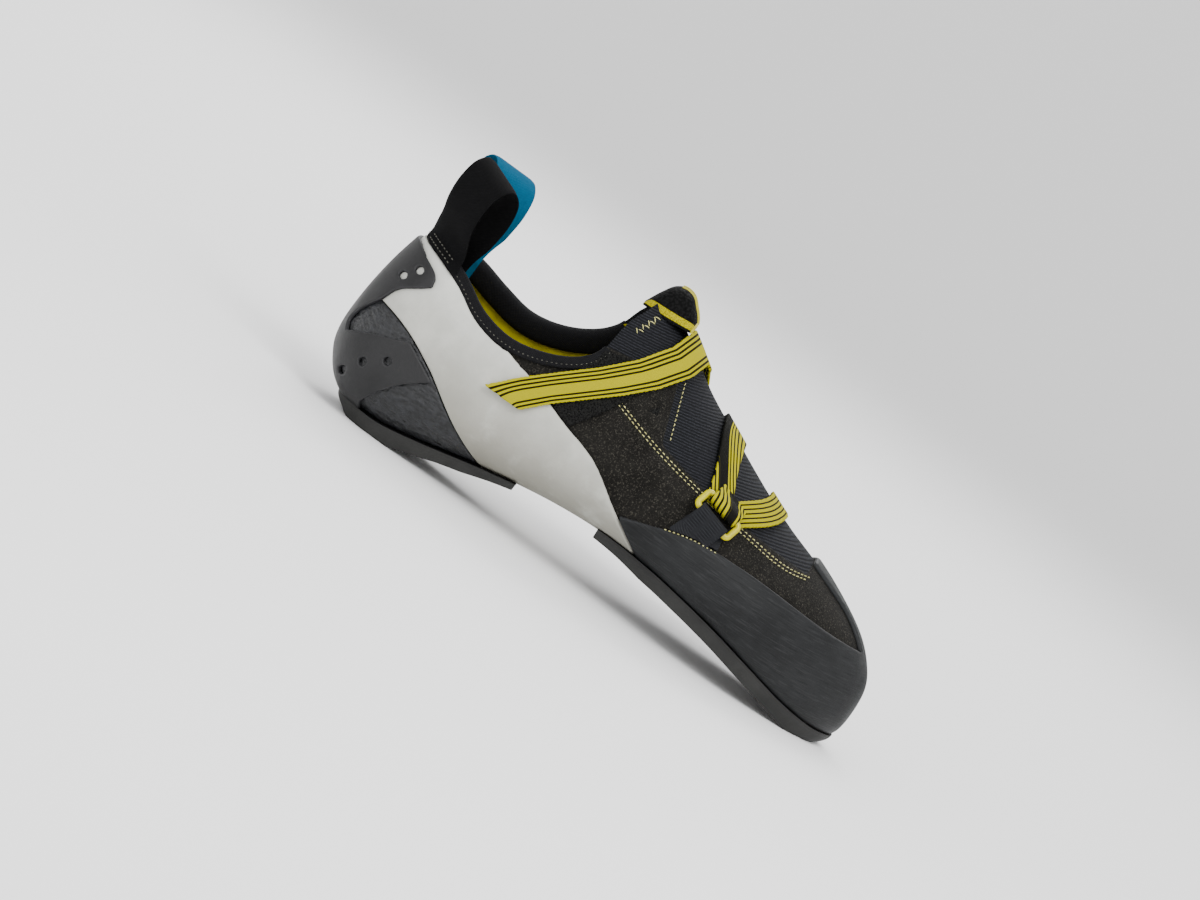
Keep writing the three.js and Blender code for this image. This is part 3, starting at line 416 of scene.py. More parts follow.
def region(field, loops=()):
    """The part of the net inside a field, with extra lines of vertices at some distances from its edge."""
    values = field(NET_POINTS, NET_NORMALS)
    near = (values[NET_CORNERS] > -3).any(1)
    params, corners, values = divide(NET_PARAMS, NET_CORNERS[near], values, field, 0.0)
    corners = corners[(values[corners] >= 0).all(1)]
    for level in loops:
        params, corners, values = divide(params, corners, values, field, level)
    used, corners = np.unique(corners, return_inverse=True)
    return params[used], corners.reshape(-1, 3), values[used]


def weld(points, corners, *columns):
    """Joins vertices at the same place and drops triangles that have no area left."""
    _, first, index = np.unique((points * 2000).round().astype(np.int64), axis=0, return_index=True, return_inverse=True)
    corners = index.reshape(-1)[corners]
    a, b, c = corners.T
    corners = corners[(a != b) & (b != c) & (c != a)]
    return first, corners


def edges_of(corners):
    """The open edges of a triangle net, each in the direction of its triangle."""
    edges = np.concatenate([corners[:, [0, 1]], corners[:, [1, 2]], corners[:, [2, 0]]])
    keys = np.sort(edges, axis=1)
    _, index, counts = np.unique(keys, axis=0, return_inverse=True, return_counts=True)
    return edges[counts[index.reshape(-1)] == 1]


# %% [markdown]
# ## From a cut net to a piece
# A sheet of rubber has two faces and a cut edge that is slightly rounded. The outer face comes up in a quarter
# circle from the edge. Three numbers go with every vertex, for the materials: the distance along the shoe, the
# distance round it, and the distance from the piece's edge.

# %% Make meshes
MATERIALS = {}


def make_piece(name, points, faces, lay=None, material=None, sharp=50, slot=None, stands_for=()):
    """A mesh object of the shoe from points in millimetres. It rides on the body and can stand for nodes."""
    mesh = bpy.data.meshes.new(name)
    mesh.from_pydata(((points - ORIGIN) * MM).tolist(), [], [list(map(int, face)) for face in faces])
    mesh.validate()
    if lay is not None and len(mesh.vertices) == len(lay):
        attribute = mesh.attributes.new("lay", "FLOAT_VECTOR", "POINT")
        attribute.data.foreach_set("vector", np.asarray(lay, np.float32).ravel())
    mesh.polygons.foreach_set("use_smooth", np.ones(len(mesh.polygons), bool))
    mesh.set_sharp_from_angle(angle=math.radians(sharp))
    piece = bpy.data.objects.new(name, mesh)
    bpy.context.scene.collection.objects.link(piece)
    for item in material if isinstance(material, (list, tuple)) else [material]:
        mesh.materials.append(item)
    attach(piece, "root")
    if stands_for:
        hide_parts(*stands_for)
    print(f"{name}: {len(mesh.polygons)} faces")
    return piece


def quarter_round(share):
    share = np.clip(share, 0, 1)
    return np.sqrt(1 - (1 - share) ** 2)


def sheet_faces(params, corners, depth, bottom, top, drop, rounding, relief=None):
    """Outer face, inner face and edge of a sheet that lies on the last between two offsets."""
    height = top - drop + drop * quarter_round(depth / rounding)
    if relief is not None:
        height = height + relief(last_point(*params.T), last_normal(*params.T), depth)
    outer = wrap(*params.T, height)
    first, faces = weld(last_point(*params.T), corners)
    outer, inner = outer[first], wrap(*params[first].T, np.full(len(first), float(bottom)))
    count = len(outer)
    rim = edges_of(faces)
    wall = np.concatenate([np.stack([rim[:, 1], rim[:, 0], rim[:, 0] + count], 1),
                           np.stack([rim[:, 1], rim[:, 0] + count, rim[:, 1] + count], 1)])
    place = last_point(*params[first].T)
    round_way = np.arctan2(place[:, 1], place[:, 2] - SEAT - 0.3 * INSTEP_HEIGHT) * 0.4 * BALL_WIDTH
    lay = np.stack([place[:, 0], round_way, depth[first]], 1)
    faces = [faces, faces[:, ::-1] + count, wall]
    return np.vstack([outer, inner]), faces, np.vstack([lay, lay * (1, 1, 0)])


def sheet_on_last(name, field, bottom, top, drop=0.7, rounding=0.7, relief=None, extra=(), **kind):
    loops = [rounding * share for share in (0.12, 0.4, 1.0)] + list(extra)
    params, corners, depth = region(field, loops)
    points, faces, lay = sheet_faces(params, corners, depth, bottom, top, drop, rounding, relief)
    return make_piece(name, points, np.concatenate(faces), lay, **kind)


# %% [markdown]
# ## Materials
# Every finish is procedural. Effects that more than one of them uses are node groups with plain names for
# what goes in and out. The groups only put out masks and heights, and the shader itself stays in the material.

# %% Small helpers for nodes
def rgb(code):
    """A colour written like 0x26241F, as linear light."""
    parts = [(code >> shift & 255) / 255 for shift in (16, 8, 0)]
    return tuple(c / 12.92 if c <= 0.04045 else ((c + 0.055) / 1.055) ** 2.4 for c in parts) + (1.0,)


class Tree:
    """Adds nodes to a tree: set by input name, a socket as a value makes a link."""

    def __init__(self, tree):
        self.tree = tree

    def add(self, kind, _out=0, _props=None, **inputs):
        node = self.tree.nodes.new("ShaderNode" + kind)
        for key, value in (_props or {}).items():
            setattr(node, key, value)
        for key, value in inputs.items():
            index = int(key[1:]) if key[0] == "i" and key[1:].isdigit() else key.replace("_", " ")
            self.put(node.inputs[index], value)
        return node.outputs[_out] if _out is not None else node

    def put(self, socket, value):
        if isinstance(value, bpy.types.NodeSocket):
            self.tree.links.new(value, socket)
        else:
            socket.default_value = value

    def math(self, operation, a, b=0.0, c=None, clamp=False):
        node = self.tree.nodes.new("ShaderNodeMath")
        node.operation, node.use_clamp = operation, clamp
        for socket, value in zip(node.inputs, (a, b, c)):
            if value is not None:
                self.put(socket, value)
        return node.outputs[0]

    def ramp(self, value, low, high, to_low=0.0, to_high=1.0):
        return self.add("MapRange", i0=value, i1=low, i2=high, i3=to_low, i4=to_high,
                        _props={"interpolation_type": "SMOOTHSTEP"})

    def mix(self, share, a, b):
        return self.add("Mix", _out=2, _props={"data_type": "RGBA"}, i0=share, i6=a, i7=b)

    def noise(self, vector, scale, detail=3.0, roughness=0.55):
        return self.add("TexNoise", Vector=vector, Scale=scale, Detail=detail, Roughness=roughness)


def node_group(name, inputs, outputs, build):
    """A shader node group whose sockets are floats, except inputs without a default, which are vectors."""
    tree = bpy.data.node_groups.new(name, "ShaderNodeTree")
    for socket, default in inputs.items():
        kind = "NodeSocketVector" if default is None else "NodeSocketFloat"
        item = tree.interface.new_socket(socket, in_out="INPUT", socket_type=kind)
        if default is not None:
            item.default_value = default
    for socket in outputs:
        tree.interface.new_socket(socket, in_out="OUTPUT", socket_type="NodeSocketFloat")
    start, end = tree.nodes.new("NodeGroupInput"), tree.nodes.new("NodeGroupOutput")
    results = build(Tree(tree), {socket.name: socket for socket in start.outputs if socket.name})
    for socket, value in zip(end.inputs, results):
        tree.links.new(value, socket)
    return tree


def use_group(tree, group, **inputs):
    node = tree.tree.nodes.new("ShaderNodeGroup")
    node.node_tree = group
    for key, value in inputs.items():
        tree.put(node.inputs[key.replace("_", " ")], value)
    return node.outputs


def material(name, build, bump=0.4, bump_distance=0.0003, **constants):
    """A principled material: build returns the sockets that vary, the constants are set on the shader."""
    item = bpy.data.materials.new(name)
    item.use_nodes = True
    tree = Tree(item.node_tree)
    shader = item.node_tree.nodes["Principled BSDF"]
    for key, value in constants.items():
        shader.inputs[key.replace("_", " ")].default_value = value
    found = build(tree)
    height = found.pop("height", None)
    for key, value in found.items():
        tree.put(shader.inputs[key.replace("_", " ")], value)
    if height is not None:
        normal = tree.add("Bump", Strength=bump, Distance=bump_distance, Height=height)
        tree.put(shader.inputs["Normal"], normal)
    MATERIALS[name] = item
    return item


def place_of(tree):
    """Position in millimetres, the same whatever the view."""
    coordinate = tree.add("TexCoord", _out="Object")
    return tree.add("VectorMath", _props={"operation": "SCALE"}, i0=coordinate, Scale=1000.0)


def lay_of(tree):
    """The three numbers of the vertex: along, round, and distance from the edge."""
    attribute = tree.add("Attribute", _out="Vector", _props={"attribute_name": "lay"})
    parts = tree.add("SeparateXYZ", _out=None, Vector=attribute)
    return attribute, parts.outputs[0], parts.outputs[1], parts.outputs[2]


# %% Shared effects
def build_grain(t, put):
    big = t.noise(put["Place"], put["Coarse"], 4.0, 0.6)
    small = t.noise(put["Place"], put["Fine"], 2.0, 0.6)
    height = t.math("ADD", t.math("MULTIPLY", big, 0.5), t.math("MULTIPLY", small, 0.5))
    return height, t.ramp(big, 0.35, 0.65), t.ramp(small, 0.45, 0.7)


GRAIN = node_group("Grain", {"Place": None, "Coarse": 0.3, "Fine": 3.0}, ("Height", "Patches", "Specks"), build_grain)


def build_edge(t, put):
    ragged = t.math("MULTIPLY", t.math("SUBTRACT", t.noise(put["Place"], 0.8), 0.5), put["Width"])
    worn = t.math("ADD", put["Distance"], ragged)
    return (t.math("SUBTRACT", 1.0, t.ramp(worn, 0.0, put["Width"])),)


EDGE = node_group("Edge wear", {"Place": None, "Distance": 1.0, "Width": 1.0}, ("Mask",), build_edge)


def build_weave(t, put):
    across = t.math("SINE", t.math("MULTIPLY", put["Across"], t.math("DIVIDE", 2 * math.pi, put["Thread"])))
    along = t.math("SINE", t.math("MULTIPLY", put["Along"], t.math("DIVIDE", 2 * math.pi, put["Thread"])))
    height = t.math("MULTIPLY", across, along)
    return t.math("MULTIPLY_ADD", height, 0.5, 0.5), t.math("MULTIPLY_ADD", across, 0.5, 0.5)


WEAVE = node_group("Weave", {"Along": 0.0, "Across": 0.0, "Thread": 0.6}, ("Height", "Ribs"), build_weave)


# %% [markdown]
# Suede is the rough side of leather: a short nap without gloss, speckled where single fibres catch the light.
# A noise of about a third of a millimetre gives the specks, and a soft larger one the brushed patches.

# %% Suede and lining
def build_suede(t):
    place = place_of(t)
    height, patches, specks = use_group(t, GRAIN, Place=place, Coarse=0.12, Fine=1.6)
    base = t.mix(patches, rgb(0x100F0D), rgb(0x1A1917))
    light = t.math("MULTIPLY", t.ramp(t.noise(place, 1.5, 3.0, 0.75), 0.52, 0.68), 0.6)
    colour = t.mix(light, base, rgb(0x4D4A43))
    return {"Base_Color": colour, "Roughness": t.ramp(patches, 0.0, 1.0, 0.82, 0.95), "height": specks}


SUEDE = material("suede", build_suede, 0.6, 0.00035, Sheen_Weight=0.02, Sheen_Roughness=0.6, Specular_IOR_Level=0.06)


def build_lining(t):
    place = place_of(t)
    height, patches, specks = use_group(t, GRAIN, Place=place, Coarse=0.08, Fine=2.2)
    return {"Base_Color": t.mix(patches, rgb(0xA39A00), rgb(0xC2B800)), "Roughness": 0.85, "height": specks}


LINING = material("yellow lining", build_lining, 0.3, 0.0002, Sheen_Weight=0.02, Specular_IOR_Level=0.1)


# %% [markdown]
# Climbing rubber is smooth and matt with a soft shine at the edges, where it is ground. The rand keeps the
# fine marks of its grinding.

# %% Rubber
def rubber(name, dark, light, rough, edge, ridges=0.0, specks=0.0, dirt_and_shade=None, shine=0.16):
    def build(t):
        place = place_of(t)
        _, along, around, distance = lay_of(t)
        height, patches, fine = use_group(t, GRAIN, Place=place, Coarse=0.05, Fine=1.2)
        wear, = list(use_group(t, EDGE, Place=place, Distance=distance, Width=0.9))[:1]
        colour = t.mix(patches, dark, light)
        height = t.math("MULTIPLY", fine, 0.4)
        if ridges:
            stretched = t.add("Mapping", Vector=place, Scale=(0.06, 0.06, 1.0), Rotation=(0.0, 0.3, 0.0))
            marks = t.noise(stretched, 1.9, 4.0, 0.65)
            colour = t.mix(t.ramp(marks, 0.5, 0.7, 0.0, 0.5), colour, edge)
            colour = t.mix(t.ramp(marks, 0.44, 0.34, 0.0, 0.5), colour, rgb(0x0A0B0B))
            height = t.math("MULTIPLY_ADD", marks, ridges, height)
        if specks:
            dust = t.ramp(t.noise(place, 0.9, 5.0, 0.65), 0.6, 0.8, 0.0, specks)
            colour = t.mix(dust, colour, edge)
        # Darker towards the bottom, under the arch: partly dirt, partly painted shade.
        if dirt_and_shade:
            low = t.ramp(t.add("SeparateXYZ", _out=2, Vector=place), 10.0, 78.0, 0.95, 0.0)
            dirt_and_shade_mask = t.math("MULTIPLY", low, t.ramp(t.noise(place, 0.06, 4.0, 0.6), 0.2, 0.5, 0.6, 1.0))
            colour = t.mix(dirt_and_shade_mask, colour, dirt_and_shade)
        colour = t.mix(t.math("MULTIPLY", wear, 0.45), colour, edge)
        return {"Base_Color": colour, "Roughness": t.ramp(patches, 0.0, 1.0, rough, rough + 0.12), "height": height}
    return material(name, build, 0.35, 0.0002, Specular_IOR_Level=shine)


RAND_RUBBER = rubber("rand rubber", rgb(0x151617), rgb(0x1E1F20), 0.5, rgb(0x2E2F30), ridges=1.6)
CUP_RUBBER = rubber("cup rubber", rgb(0x171718), rgb(0x1F1F20), 0.42, rgb(0x2E2E30), shine=0.25)
SOLE_RUBBER = rubber("sole rubber", rgb(0x262625), rgb(0x2F2F2E), 0.55, rgb(0x45443F), specks=0.4)
# The sling is darker towards its bottom: partly dirt, partly painted shade.
SLING_RUBBER = rubber("sling rubber", rgb(0xBEBFB9), rgb(0xCFD0CA), 0.5, rgb(0xA8A79E), dirt_and_shade=rgb(0x78756A))


def build_heel_base(t):
    place = place_of(t)
    _, along, around, distance = lay_of(t)
    wrinkles = t.add("TexVoronoi", _props={"feature": "SMOOTH_F1"}, Scale=0.42,
                     Vector=t.add("Mapping", Vector=place, Scale=(1.0, 1.0, 1.9), Rotation=(0.0, 0.6, 0.0)))
    folds = t.noise(place, 0.35, 4.0, 0.65)
    height = t.math("ADD", t.math("MULTIPLY", wrinkles, 0.7), folds)
    colour = t.mix(t.ramp(height, 0.5, 1.1), rgb(0x0B0C0D), rgb(0x202124))
    return {"Base_Color": colour, "Roughness": t.ramp(folds, 0.3, 0.7, 0.28, 0.5), "height": height}


BASE_RUBBER = material("heel base rubber", build_heel_base, 0.8, 0.0011, Specular_IOR_Level=0.35)


# %% [markdown]
# Woven tape has fine threads across its width. The strap is yellow with thin dark lines along it, and its
# middle leg is dark with slanted yellow lines.

# %% Fabrics
def fabric(name, colour, thread=0.7, dark=0.5, rough=0.85, bump=0.5, shine=0.08):
    def build(t):
        _, along, across, distance = lay_of(t)
        height, ribs = list(use_group(t, WEAVE, Along=along, Across=across, Thread=thread))[:2]
        place = place_of(t)
        lumps = t.ramp(t.noise(place, 0.6), 0.3, 0.7, 0.6, 1.0)
        shaded = tuple(c * dark for c in colour[:3]) + (1.0,)
        mixed = t.mix(t.math("MULTIPLY", height, lumps), shaded, colour)
        return {"Base_Color": mixed, "Roughness": rough, "height": height}
    return material(name, build, bump, 0.0003, Specular_IOR_Level=shine)


BINDING = fabric("binding fabric", rgb(0x1B1B1D), thread=0.9, dark=0.35)
BLACK_TAPE = fabric("black tape", rgb(0x121213), thread=0.75, dark=0.4, shine=0.04)
KEEPER_TAPE = fabric("keeper tape", rgb(0x26272A), thread=0.9, dark=0.4, shine=0.1)
BLUE_TAPE = fabric("blue tape", rgb(0x04597A), thread=0.75, dark=0.6, shine=0.05)
INSOLE_CLOTH = LINING


def build_stretch(t):
    """Fine ribs that rise slightly towards the toe."""
    place = place_of(t)
    turned = t.add("Mapping", Vector=place, Rotation=(0.0, 0.14, 0.0))
    level = t.add("SeparateXYZ", _out=2, Vector=turned)
    wander = t.math("MULTIPLY", t.noise(place, 0.5), 0.5)
    ribs = t.math("SINE", t.math("MULTIPLY", t.math("ADD", level, wander), 2 * math.pi / 1.0))
    ribs = t.math("MULTIPLY_ADD", ribs, 0.5, 0.5)
    threads = t.noise(t.add("Mapping", Vector=place, Scale=(1.0, 1.0, 3.0)), 2.5, 2.0)
    colour = t.mix(t.math("MULTIPLY", ribs, t.ramp(threads, 0.35, 0.6)), rgb(0x090A0C), rgb(0x2B2C31))
    return {"Base_Color": colour, "Roughness": 0.8, "height": ribs}


STRETCH = material("stretch fabric", build_stretch, 0.6, 0.0003, Specular_IOR_Level=0.1)


def build_loops(t):
    """The fuzzy half of a touch fastener: tiny loops, dark between them."""
    place = place_of(t)
    loops = t.add("TexVoronoi", Vector=place, Scale=1.3, Randomness=1.0)
    tufts = t.noise(place, 2.2, 3.0, 0.7)
    height = t.math("ADD", loops, tufts)
    return {"Base_Color": t.mix(t.ramp(height, 0.6, 1.2), rgb(0x040404), rgb(0x1E1E1D)), "Roughness": 0.9,
            "height": height}


LOOPS = material("fastener loops", build_loops, 1.0, 0.0009, Specular_IOR_Level=0.1)


def build_grained(t):
    """Grained leather with a woven yellow band above its foot."""
    place = place_of(t)
    _, along, foot, distance = lay_of(t)
    cells = t.add("TexVoronoi", _props={"feature": "SMOOTH_F1"}, Vector=place, Scale=1.1)
    band = t.math("MULTIPLY", t.ramp(foot, 0.9, 1.1), t.math("SUBTRACT", 1.0, t.ramp(foot, 3.7, 3.9)))
    threads = t.noise(place, 2.5, 2.0)
    leather = t.mix(t.ramp(cells, 0.2, 0.6), rgb(0x111111), rgb(0x080808))
    yellow = t.mix(t.ramp(threads, 0.35, 0.6), rgb(0x746C00), rgb(0xA69C00))
    height = t.math("SUBTRACT", t.math("MULTIPLY", band, 0.5), t.math("MULTIPLY", cells, 0.5))
    return {"Base_Color": t.mix(band, leather, yellow), "Roughness": t.ramp(cells, 0.2, 0.6, 0.65, 0.85),
            "height": height}


GRAINED = material("grained tab", build_grained, 0.6, 0.0005, Specular_IOR_Level=0.05)

YELLOW, INK = rgb(0xA19A00), rgb(0x110F08)


def striped(name, lines, width=0.06):
    """Yellow tape with plain dark lines along it, at shares of its width."""
    def build(t):
        _, along, across, distance = lay_of(t)
        wide = t.math("MULTIPLY", across, STRAP_WIDTH)
        height, ribs = list(use_group(t, WEAVE, Along=along, Across=wide, Thread=0.6))[:2]
        mask = 0.0
        for share in lines:
            away = t.math("ABSOLUTE", t.math("SUBTRACT", across, share))
            mask = t.math("MAXIMUM", mask, t.math("SUBTRACT", 1.0, t.ramp(away, width * 0.4, width * 0.62)))
        colour = t.mix(t.ramp(height, 0.0, 1.0, 0.3, 0.0), YELLOW, rgb(0x6A6000))
        return {"Base_Color": t.mix(mask, colour, INK), "Roughness": 0.7, "height": height}
    return material(name, build, 0.4, 0.0002, Specular_IOR_Level=0.04)


TOP_STRAP = striped("top strap", (0.12, 0.25, 0.38, 0.76, 0.89))
VAMP_STRAP = striped("vamp strap", (0.16, 0.33, 0.5, 0.67, 0.84))


def build_diagonal(t):
    """Dark tape with slanted yellow lines in two groups."""
    _, along, across, distance = lay_of(t)
    wide = t.math("MULTIPLY", across, STRAP_WIDTH)
    height, ribs = list(use_group(t, WEAVE, Along=along, Across=wide, Thread=0.6))[:2]
    upper = t.math("MULTIPLY_ADD", along, -0.33, wide)
    lower = t.math("MULTIPLY_ADD", t.math("SUBTRACT", along, 12.0), -0.45, wide)
    mask = 0.0
    for slanted, inside, pitch in ((upper, t.ramp(upper, 2.0, 2.2), 1.9),
                                   (lower, t.ramp(lower, 0.0, -0.2), 2.2)):
        lines = t.math("SINE", t.math("MULTIPLY", slanted, 2 * math.pi / pitch))
        mask = t.math("MAXIMUM", mask, t.math("MULTIPLY", t.ramp(lines, -0.45, -0.1), inside))
    return {"Base_Color": t.mix(mask, rgb(0x12120F), YELLOW), "Roughness": 0.7, "height": height}


DIAGONAL_STRAP = material("diagonal strap", build_diagonal, 0.4, 0.0002, Specular_IOR_Level=0.04)

# %% Metal of the rings
def build_ring(t):
    place = place_of(t)
    return {"Base_Color": t.mix(t.ramp(t.noise(place, 0.4), 0.3, 0.7), rgb(0xA59C00), rgb(0xB4AB00)),
            "Roughness": t.ramp(t.noise(place, 1.5), 0.3, 0.7, 0.22, 0.36)}


RING_PAINT = material("ring paint", build_ring, Coat_Weight=0.15, Coat_Roughness=0.15, Specular_IOR_Level=0.3)

# %% [markdown]
# ## The upper
# One hollow piece of suede with a yellow lining, open at the collar and along the throat.

# %% Outlines of the pieces on the side view
SLING = smoothed(outline(
    (-0.05, 0.73), (0.035, 0.73), (0.14, 0.61), (0.228, 0.457), (0.29, 0.421), (0.37, 0.362),
    (0.433, 0.322), (0.515, 0.213), (0.585, 0.131), (0.593, -0.2), (0.343, -0.2), (0.343, 0.059),
    (0.269, 0.097), (0.228, 0.133), (0.146, 0.242), (0.085, 0.306), (-0.05, 0.368),
))
HEEL_BASE = smoothed(outline(
    (-0.06, 0.5), (0.09, 0.48), (0.2, 0.3), (0.343, 0.2), (0.343, -0.25), (-0.06, -0.25),
))
RAND_LATERAL = smoothed(outline(
    (0.519, 0.213), (0.556, 0.242), (0.597, 0.273), (0.659, 0.304), (0.72, 0.311), (0.933, 0.31),
    (0.956, 0.315), (0.937, 0.351), (0.905, 0.397), (0.864, 0.433), (0.814, 0.474), (0.814, 0.63),
    (1.07, 0.63), (1.07, -0.21), (0.595, -0.21), (0.585, 0.131),
))
RAND_MEDIAL = smoothed(outline(
    (0.519, 0.213), (0.556, 0.242), (0.597, 0.275), (0.659, 0.304), (0.72, 0.319), (0.761, 0.348),
    (0.79, 0.404), (0.814, 0.474), (0.814, 0.63), (1.07, 0.63), (1.07, -0.21), (0.595, -0.21), (0.585, 0.131),
))
HEEL_CUP = smoothed(outline(
    (-0.05, 0.75), (0.018, 0.75), (0.019, 0.6), (0.05, 0.55), (0.077, 0.509), (0.081, 0.475),
    (0.064, 0.444), (0.04, 0.397), (0.03, 0.342), (0.011, 0.258), (0.009, 0.212), (0.015, 0.184),
    (0.048, 0.222), (0.101, 0.278), (0.165, 0.206), (0.13, 0.14), (0.105, 0.075), (0.091, 0.024),
    (0.097, -0.004), (0.118, -0.022), (0.187, -0.007), (0.343, 0.055), (0.343, -0.17), (-0.05, -0.17),
))
THROAT_LATERAL = smoothed(outline(
    (0.327, 0.663), (0.409, 0.701), (0.474, 0.731), (0.511, 0.509), (0.597, 0.469), (0.7, 0.444),
    (0.814, 0.437), (0.814, 1.22), (0.327, 1.22),
))
THROAT_MEDIAL = smoothed(outline(
    (0.327, 0.737), (0.409, 0.776), (0.482, 0.74), (0.519, 0.537), (0.597, 0.502), (0.7, 0.467),
    (0.814, 0.455), (0.814, 1.22), (0.327, 1.22),
))
LOOP_PATCH = smoothed(outline(
    (0.351, 0.655), (0.409, 0.683), (0.445, 0.647), (0.409, 0.479), (0.376, 0.358), (0.339, 0.38), (0.339, 0.56),
))
CUP_HOLES = outline((0.052, 0.5), (0.036, 0.453), (0.091, 0.177), (0.062, 0.127), (0.044, 0.07))
TOE_RIDGE = 0.14 * BALL_WIDTH


def sling_field(grow=0.0):
    return side_field(SLING, grow=grow)


def rand_field(grow=0.0):
    return side_field(RAND_LATERAL, RAND_MEDIAL, TOE_RIDGE, grow)


def throat_field(grow=0.0):
    return side_field(THROAT_LATERAL, THROAT_MEDIAL, 0.0, grow)


# %% Creases
CREASES = [  # from and to on the side view, width and depth in millimetres
    ((0.5, 0.47), (0.6, 0.3), 2.2, 0.35), ((0.54, 0.45), (0.63, 0.32), 1.8, 0.25), ((0.7, 0.43), (0.72, 0.33), 2.0, 0.3),
    ((0.75, 0.43), (0.76, 0.34), 1.8, 0.3), ((0.8, 0.42), (0.8, 0.34), 1.6, 0.2), ((0.43, 0.56), (0.52, 0.36), 2.5, 0.25),
]


def creases(points, normals, depth):
    """Shallow valleys where the shoe bends, each between two places of the side view."""
    spots = np.stack([points[:, 0], points[:, 2] - LOOK_DOWN * np.abs(points[:, 1])], 1)
    result = np.zeros(len(points))
    for start, end, wide, deep in CREASES:
        a, b = outline(start, end)
        share = np.clip(((spots - a) @ (b - a)) / ((b - a) @ (b - a)), 0, 1)
        away = np.linalg.norm(spots - a - share[:, None] * (b - a), axis=1)
        result -= deep * np.exp(-(away / wide) ** 2) * np.sin(share * math.pi)
    return result


# %% Suede outside, lining inside
upper_field = both(below_collar(1.5), outside(throat_field()))
params, corners, depth = region(upper_field, [0.2, 0.6, 1.4])
points, faces, lay = sheet_faces(params, corners, depth, -WALL, 0.0, 1.0, 1.4, creases)
upper = make_piece("suede_upper", points, np.concatenate(faces), lay, [SUEDE, LINING], slot="upper", stands_for=["upper"])
inner = np.zeros(len(upper.data.polygons), np.int32)
inner[len(faces[0]):len(faces[0]) + len(faces[1])] = 1
if len(upper.data.polygons) == sum(map(len, faces)):
    upper.data.polygons.foreach_set("material_index", inner)

# %% [markdown]
# ## Rubber in layers
# A pale sling runs from the heel under the arch and pulls the foot into the toe. The heel base lies below it,
# the rand wraps the toes, and a thicker cup holds the heel.

# %% Sling, heel base, rand and cup
rubber_edge = below_collar(4.5 + CLEARANCE)
sling = sheet_on_last("pale_sling", both(sling_field(), rubber_edge), CLEARANCE, CLEARANCE + RUBBER,
                      material=SLING_RUBBER, slot="sling", stands_for=["sling"])
heel_base = sheet_on_last("rubber_heel_base", both(side_field(HEEL_BASE), outside(sling_field(CLEARANCE))),
                          CLEARANCE, CLEARANCE + RUBBER, material=BASE_RUBBER, slot="heel_base",
                          stands_for=["heel_base"])
toe_rand = sheet_on_last("rubber_toe_rand", both(rand_field(), outside(sling_field(CLEARANCE))), CLEARANCE,
                         CLEARANCE + RUBBER, drop=0.9, rounding=1.4, material=RAND_RUBBER, slot="toe_rand", stands_for=["toe_rand"])


def hole_field(spot, radius):
    def field(points, normals):
        seen = np.stack([points[:, 0], points[:, 2] - LOOK_DOWN * np.abs(points[:, 1])], 1)
        return np.linalg.norm(seen - spot, axis=1) - radius
    return field


cup_field = both(side_field(HEEL_CUP), below_collar(CLEARANCE), *[hole_field(spot, 1.5) for spot in CUP_HOLES])
heel_cup = sheet_on_last("heel_cup", cup_field, OVER_CUP, OVER_CUP + CUP, material=CUP_RUBBER,
                         slot="heel_rubber", stands_for=["heel_rubber"])
loop_patch = sheet_on_last(
    "fastener_patch",
    both(side_field(LOOP_PATCH, LOOP_PATCH + (0, 500)), outside(sling_field(CLEARANCE)),
         outside(throat_field(CLEARANCE)), rubber_edge),
    CLEARANCE, CLEARANCE + RUBBER, material=LOOPS, slot="loop_patch", stands_for=["loop_patch"])

# %% [markdown]
# ## Tongue
# A stretch fabric closes the throat from below. It starts under the edge of the suede.

# %% Tongue
tongue_field = both(throat_field(2.0), below_collar(0.0))
tongue = sheet_on_last("stretch_tongue", tongue_field, -CLEARANCE - 1.2, -CLEARANCE - 0.1, drop=0.4, rounding=0.8,
                       material=STRETCH, slot="tongue", stands_for=["tongue"])

# %% [markdown]
# ## Soles
# The outsole and the heel's sole are thick slabs. Their upper edge follows the rubber above, their side falls
# in a slight curve, and the floor cuts their lowest places flat, which is where the shoe stands.


# %% Thickness of the soles and their edge
HEEL_SEAT_ROW, TOE_SEAT_ROW = 5, 17
HEEL_SOLE = np.array([(3.6, 1.05), (4.0, 1.08), (4.5, 1.2), (5.0, 1.25), (5.5, 1.3), (6.0, 1.05), (6.5, 0.8),
                      (7.0, 0.72), (7.5, 0.44), (8.0, 0.25)])
FORE_SOLE = np.array([(9.8, 0.35), (10.4, 0.55), (11.0, 0.85), (12.0, 0.88), (13.0, 0.9), (14.0, 0.95),
                      (15.0, 0.97), (15.6, 1.2), (16.0, 1.4), (17.0, 1.5), (18.0, 1.6)])


def bisect(low, high, value, steps=40):
    low, high = np.array(low, float), np.array(high, float)
    rising = value(high) > value(low)
    for _ in range(steps):
        mid = (low + high) / 2
        up = (value(mid) > 0) == rising
        high, low = np.where(up, mid, high), np.where(up, low, mid)
    return (low + high) / 2


def sole_edge(start, toe, reach, lap, seat_row, steps=110):
    bottom_angle = 1.5 * math.pi

    def seam(row):
        held = np.minimum(row, seat_row) if toe else np.maximum(row, seat_row)
        return section(np.asarray(held, float))[..., BOTTOM] + lap

    ends = (seat_row, TOE_END) if toe else (0, seat_row)
    nose = float(bisect(*ends, lambda row: wrap(row, bottom_angle, reach)[..., 2] - seam(row)))
    rows = start + (nose - start) * np.sin(np.arange(steps) / steps * math.pi / 2)

    def side(end):
        low, high = np.full(steps, bottom_angle), np.full(steps, end)
        angle = bisect(low, high, lambda a: wrap(rows, a, np.full(steps, reach))[:, 2] - seam(rows))
        return wrap(rows, angle, np.full(steps, reach))

    tip = wrap(np.array([nose]), np.array([bottom_angle]), np.array([reach]))
    edge = np.vstack([side(math.pi), tip, side(2 * math.pi)[::-1]])
    return edge, np.concatenate([rows, [nose], rows[::-1]])


